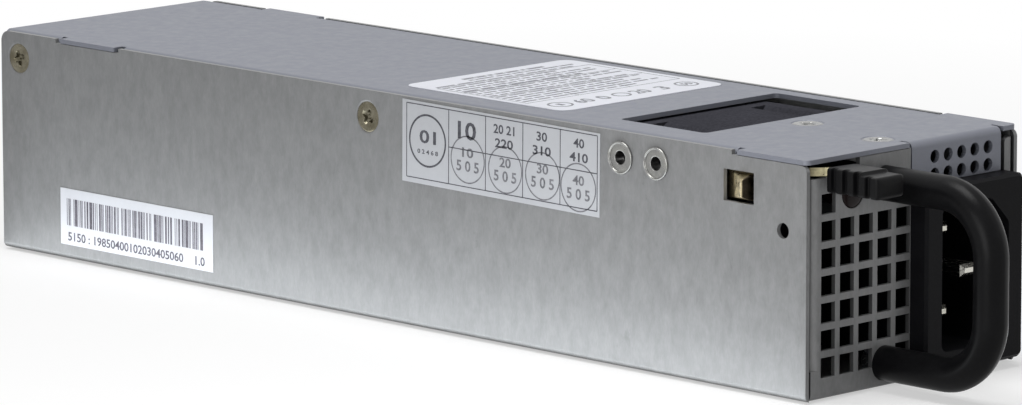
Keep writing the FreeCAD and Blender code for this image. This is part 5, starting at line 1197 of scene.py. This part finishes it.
@dataclass
class Labels:
    """Rating label on the cover; test and serial labels on the left wall."""

    seed: int = 11
    tilt: float = 0.0085
    film: float = 0.075 * MM
    corner: float = 2.5 * MM

    def test_print(self) -> tuple[PrintSheet, PrintSheet]:
        """Ruled table: a wide first cell with a circle, then four columns with numbers and stamps.

        Returns:
            The dark print and the grey stamps. The axes start at the label's centre.
        """
        ink, stamp = PrintSheet(), PrintSheet()
        left, right, low, high, shelf = -22.55, 23.05, -6.15, 6.62, 0.2
        rules = (-12.3, -3.4, 5.5, 14.35)
        w = 0.085
        ink.bars([(left, high - w, right, high + w), (left, low - w, right, low + w),
                  (left - w, low, left + w, high), (right - w, low, right + w, high)])
        ink.bars([(x - w, low, x + w, high) for x in rules])
        ink.bars([(rules[0], shelf - w, right, shelf + w)])
        ink.ring(-17.45, 0.55, 4.35, 0.34, 1.02)
        ink.figures("01", -17.4, 1.2, 2.3, 4.0)
        ink.figures("0 2 4 6 8", -17.4, -1.4, 0.8, 5.0)
        ink.figures("10", -7.9, 3.5, 3.1, 4.4)
        for x, (first, second) in zip((1.0, 10.0, 18.7), (("20 21", "220"), ("30", "310"), ("40", "410"))):
            ink.figures(first, x, 4.8, 1.6, 5.0 if len(first) > 2 else 2.5)
            ink.figures(second, x, 2.4, 1.6, 4.3)
        for x, y, radius, text in ((-7.7, -1.45, 4.0, "10"), (1.3, -2.0, 3.95, "20"), (10.2, -1.9, 4.0, "30"),
                                   (18.65, -2.7, 4.05, "40")):
            stamp.ring(x, y, radius, 0.24)
            stamp.figures(text, x, y + 1.2, 1.7, 2.7)
            stamp.figures("5 0 5", x, y - 1.15, 1.9, 5.4)
        return ink, stamp

    def serial_print(self) -> PrintSheet:
        """Row of bars of uneven width above a row of numerals, from the label's centre."""
        ink = PrintSheet()
        chance = np.random.default_rng(self.seed)
        left, right, low, high = -18.55, 17.65, -1.55, 3.35
        runs = 130
        widths = chance.choice([0.16, 0.3, 0.46, 0.75], runs, p=[0.42, 0.3, 0.2, 0.08])
        ends = left + np.cumsum(widths)
        starts = ends - widths
        keep = (np.arange(runs) % 2 == 0) & (ends < right - 1.1)
        count = int(keep.sum())
        ink.bars(np.stack([starts[keep], np.full(count, low), ends[keep], np.full(count, high)], -1))
        ink.bars([(right - 0.7, low, right, high)])
        ink.figures("5150 : 19850400102030405060    1.0", -0.1, -3.55, 1.65, 36.4)
        return ink

    def rating_print(self) -> PrintSheet:
        """Rows of short grey words, a ruled table and a row of large marks, from the label's centre."""
        ink = PrintSheet(thickness=0.02)
        chance = np.random.default_rng(self.seed + 5)
        words, rows, top, pitch, most = [], 16, 16.4, 1.62, 24
        for row in range(rows):
            y = top - row * pitch
            start = -18.0 + (9.5 if row < 2 else 0)
            lengths = chance.uniform(0.8, 4.4, most)
            gaps = chance.uniform(0.35, 0.8, most)
            right = start + np.cumsum(lengths + gaps) - gaps
            left = right - lengths
            keep = right < (17.6 if row % 3 else 12.5)
            count = int(keep.sum())
            tall = 0.95 if row in (0, 6) else 0.6
            words.append(np.stack([left[keep], np.full(count, y - tall / 2), right[keep],
                                   np.full(count, y + tall / 2)], -1))
        ink.bars(np.concatenate(words))
        w, half = 0.09, 18.6
        lines = (12.4, 5.9, -0.6, -9.5)
        for y in lines:
            ink.bars([(-half, y - w, half, y + w)])
        for x in (-half, -6.0, 6.5, half):
            ink.bars([(x - w, lines[-1], x + w, lines[0])])
        row, small, large = -14.3, 1.7, 3.2
        for x, radius in ((-15.5, 2.1), (-0.7, 1.6), (15.3, 2.0)):
            ink.ring(x, row, radius, 0.42)
        for x, text, tall, wide in ((-15.5, "1", small, 0.9), (-9.9, "60", large, 3.8),
                                    (-5.1, "0", large, 2.2), (3.9, "20", large, 3.8),
                                    (9.3, "3", large, 2.0), (15.3, "50", small, 2.2)):
            ink.figures(text, x, row, tall, wide)
        return ink

    def rating_film(self, low: np.ndarray, high: np.ndarray) -> Mesh:
        """Film with rounded corners: quarter arcs at the corners, swept through its thickness."""
        r, steps = self.corner, 12
        t = np.linspace(0, np.pi / 2, steps)
        turns = np.concatenate([t + k * np.pi / 2 for k in range(4)])
        cx = np.repeat([high[0] - r, low[0] + r, low[0] + r, high[0] - r], steps)
        cy = np.repeat([high[1] - r, high[1] - r, low[1] + r, low[1] + r], steps)
        edge = np.stack([cx + r * np.cos(turns), cy + r * np.sin(turns)], -1)
        return capped(np.stack([np.column_stack([edge, np.full(len(edge), z)])
                                for z in (low[2], low[2] + self.film)]))

    def make(self) -> None:
        """Prints the three labels."""
        low, high = corners("test_label")
        middle = (low + high) / 2
        place = (low[0], middle[1], middle[2])
        ink, stamp = self.test_print()
        for name, marks, finish in (("test_print", ink, BLACK_INK), ("test_stamps", stamp, STAMP_INK)):
            build(name, set_in(marks.mesh(), place, Facing.LEFT_WALL, -self.tilt), finish, "housing",
                  60)
        low, high = corners("serial_label")
        middle = (low + high) / 2
        place = (low[0], middle[1], middle[2])
        build("serial_print", set_in(self.serial_print().mesh(), place, Facing.LEFT_WALL), BAR_INK, "housing",
              60)
        low, high = corners("rating_label")
        middle = (low + high) / 2
        place = (middle[0], middle[1], low[2] + self.film)
        build("rating_film", self.rating_film(low, high), COATED_FILM, "housing", 40,
              ("rating_label",))
        build("rating_print", set_in(self.rating_print().mesh(), place, Facing.TOP), GREY_INK, "housing",
              60)


# ------------------------------------------------------------------ studio
@dataclass
class Studio:
    """Pale floor, soft lamps, white surroundings and the camera."""

    camera_place: Colour = (-0.86844, -0.87941, 0.23890)
    camera_right: Colour = (0.70914, -0.70506, -0.00130)
    camera_down: Colour = (-0.12526, -0.12418, -0.98432)
    lens: float = 253.9
    card_size: tuple[float, float] = (0.025, 0.2)
    card_watts: float = 0.046
    card_colour: Colour = (0.92, 0.965, 1.0)
    card_place: float = 0.0385
    ambient: float = 0.12
    floor_reach: float = 6.0
    floor_level: float = -0.3 * MM
    floor_tone: float = 0.6
    white_near: float = 0.5
    white_from: float = 0.12
    white_to: float = 0.32

    def camera(self) -> None:
        """Creates the camera from its place and its three axes."""
        data = bpy.data.cameras.new("camera")
        data.lens = self.lens
        data.sensor_width = 36.0
        data.clip_start = 0.01
        view = bpy.data.objects.new("camera", data)
        right = Vector(self.camera_right).normalized()
        up = -Vector(self.camera_down).normalized()
        back = right.cross(up)
        turn = Matrix((right, up, back)).transposed().to_4x4()
        view.matrix_world = Matrix.Translation(self.camera_place) @ turn
        bpy.context.scene.collection.objects.link(view)
        bpy.context.scene.camera = view

    def lamp(self, name: str, place: Colour, size: float, watts: float) -> None:
        """Adds a square soft lamp aimed at the housing.

        Args:
            name: Name of the lamp.
            place: Its centre.
            size: Side of its panel.
            watts: Power.
        """
        data = bpy.data.lights.new(name, "AREA")
        data.size = size
        data.energy = watts
        lamp = bpy.data.objects.new(name, data)
        aim = Vector((0, 0, 0.02)) - Vector(place)
        lamp.visible_camera = False
        lamp.matrix_world = Matrix.Translation(place) @ aim.to_track_quat("-Z", "Y").to_matrix().to_4x4()
        bpy.context.scene.collection.objects.link(lamp)

    def card(self, name: str, x: float) -> None:
        """Lays a glowing white card on the floor along one side, as a studio reflector.

        Args:
            name: Name of the card.
            x: Place of its centre line.
        """
        data = bpy.data.lights.new(name, "AREA")
        data.shape = "RECTANGLE"
        data.size, data.size_y = self.card_size
        data.energy = self.card_watts
        data.color = self.card_colour
        card = bpy.data.objects.new(name, data)
        card.matrix_world = Matrix.Translation((x, 0, 0.2 * MM)) @ Matrix.Rotation(np.pi, 4, "Y")
        card.visible_camera = False
        bpy.context.scene.collection.objects.link(card)

    def seen_share(self, tree: bpy.types.NodeTree) -> bpy.types.NodeSocket:
        """Factor that is 1 for camera, glossy and transmission rays and 0 for others."""
        path = tree.nodes.new("ShaderNodeLightPath")
        total = path.outputs["Is Camera Ray"]
        for name in ("Is Glossy Ray", "Is Transmission Ray"):
            most = tree.nodes.new("ShaderNodeMath")
            most.operation = "MAXIMUM"
            tree.links.new(total, most.inputs[0])
            tree.links.new(path.outputs[name], most.inputs[1])
            total = most.outputs[0]
        return total

    def surroundings(self) -> None:
        """White world where it is seen, and a plain ambient level elsewhere."""
        world = bpy.data.worlds.new("surroundings")
        bpy.context.scene.world = world
        world.use_nodes = True
        tree = world.node_tree
        tree.nodes.clear()
        mix = tree.nodes.new("ShaderNodeMixShader")
        plain, white = tree.nodes.new("ShaderNodeBackground"), tree.nodes.new("ShaderNodeBackground")
        plain.inputs["Color"].default_value = (self.ambient, self.ambient, self.ambient, 1)
        white.inputs["Color"].default_value = (1, 1, 1, 1)
        tree.links.new(self.seen_share(tree), mix.inputs[0])
        tree.links.new(plain.outputs[0], mix.inputs[1])
        tree.links.new(white.outputs[0], mix.inputs[2])
        out = tree.nodes.new("ShaderNodeOutputWorld")
        tree.links.new(mix.outputs[0], out.inputs[0])

    def floor(self) -> None:
        """Pale floor: white far out where it is seen, and close in a mix that keeps the soft shadow."""
        data = bpy.data.meshes.new("floor")
        far, level = self.floor_reach, self.floor_level
        data.from_pydata([(-far, -far, level), (far, -far, level), (far, far, level), (-far, far, level)], [],
                         [(0, 1, 2, 3)])
        material = bpy.data.materials.new("pale_floor")
        material.use_nodes = True
        tree = material.node_tree
        base = tree.nodes["Principled BSDF"]
        base.inputs["Roughness"].default_value = 0.9
        base.inputs["Specular IOR Level"].default_value = 0.0
        tone = tree.nodes.new("ShaderNodeMix")
        tone.data_type = "RGBA"
        tone.inputs[6].default_value = (self.floor_tone, self.floor_tone, self.floor_tone, 1)
        tone.inputs[7].default_value = (1.0, 1.0, 1.0, 1)
        tree.links.new(self.seen_share(tree), tone.inputs[0])
        tree.links.new(tone.outputs[2], base.inputs["Base Color"])
        place = tree.nodes.new("ShaderNodeTexCoord")
        reach = tree.nodes.new("ShaderNodeVectorMath")
        reach.operation = "LENGTH"
        tree.links.new(place.outputs["Object"], reach.inputs[0])
        share = tree.nodes.new("ShaderNodeMapRange")
        for key, value in (("From Min", self.white_from), ("From Max", self.white_to),
                           ("To Min", self.white_near), ("To Max", 1.0)):
            share.inputs[key].default_value = value
        tree.links.new(reach.outputs["Value"], share.inputs["Value"])
        product = tree.nodes.new("ShaderNodeMath")
        product.operation = "MULTIPLY"
        tree.links.new(self.seen_share(tree), product.inputs[0])
        tree.links.new(share.outputs[0], product.inputs[1])
        glow = tree.nodes.new("ShaderNodeEmission")
        mix = tree.nodes.new("ShaderNodeMixShader")
        tree.links.new(product.outputs[0], mix.inputs[0])
        tree.links.new(base.outputs[0], mix.inputs[1])
        tree.links.new(glow.outputs[0], mix.inputs[2])
        tree.links.new(mix.outputs[0], tree.nodes["Material Output"].inputs["Surface"])
        data.materials.append(material)
        plane = bpy.data.objects.new("floor", data)
        bpy.context.scene.collection.objects.link(plane)

    def make(self) -> None:
        """Sets up camera, lamps, world and floor."""
        self.camera()
        self.lamp("key", (-0.25, 0.1, 2.1), 1.1, 34)
        self.lamp("fill", (1.2, -1.4, 1.2), 1.4, 2)
        self.lamp("side_fill", (-0.18, -0.15, 0.06), 0.1, 0.14)
        self.card("left_card", -self.card_place)
        self.card("right_card", self.card_place)
        self.surroundings()
        self.floor()
        bpy.context.scene.view_settings.view_transform = "Standard"


def dress_cad_nodes() -> None:
    """Gives every CAD node that stays its finish."""
    for name, finish in CAD_FINISHES.items():
        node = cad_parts[name]
        material = SHOP.material(finish, name)
        for slot in node.material_slots:
            slot.material = material
        log.info("%s dressed", name)


def main() -> None:
    """Builds the studio and every sub-assembly, in order."""
    logging.basicConfig(level=logging.INFO, format="%(message)s")
    Studio().make()
    dress_cad_nodes()
    for maker in (CrossScrews(), Eyelets(), BowHandle(), ReleaseLatch(), StatusLight(), FanRotor(), Labels()):
        maker.make()
        log.info("%s done", type(maker).__name__)


if __name__ == "__main__":
    main()
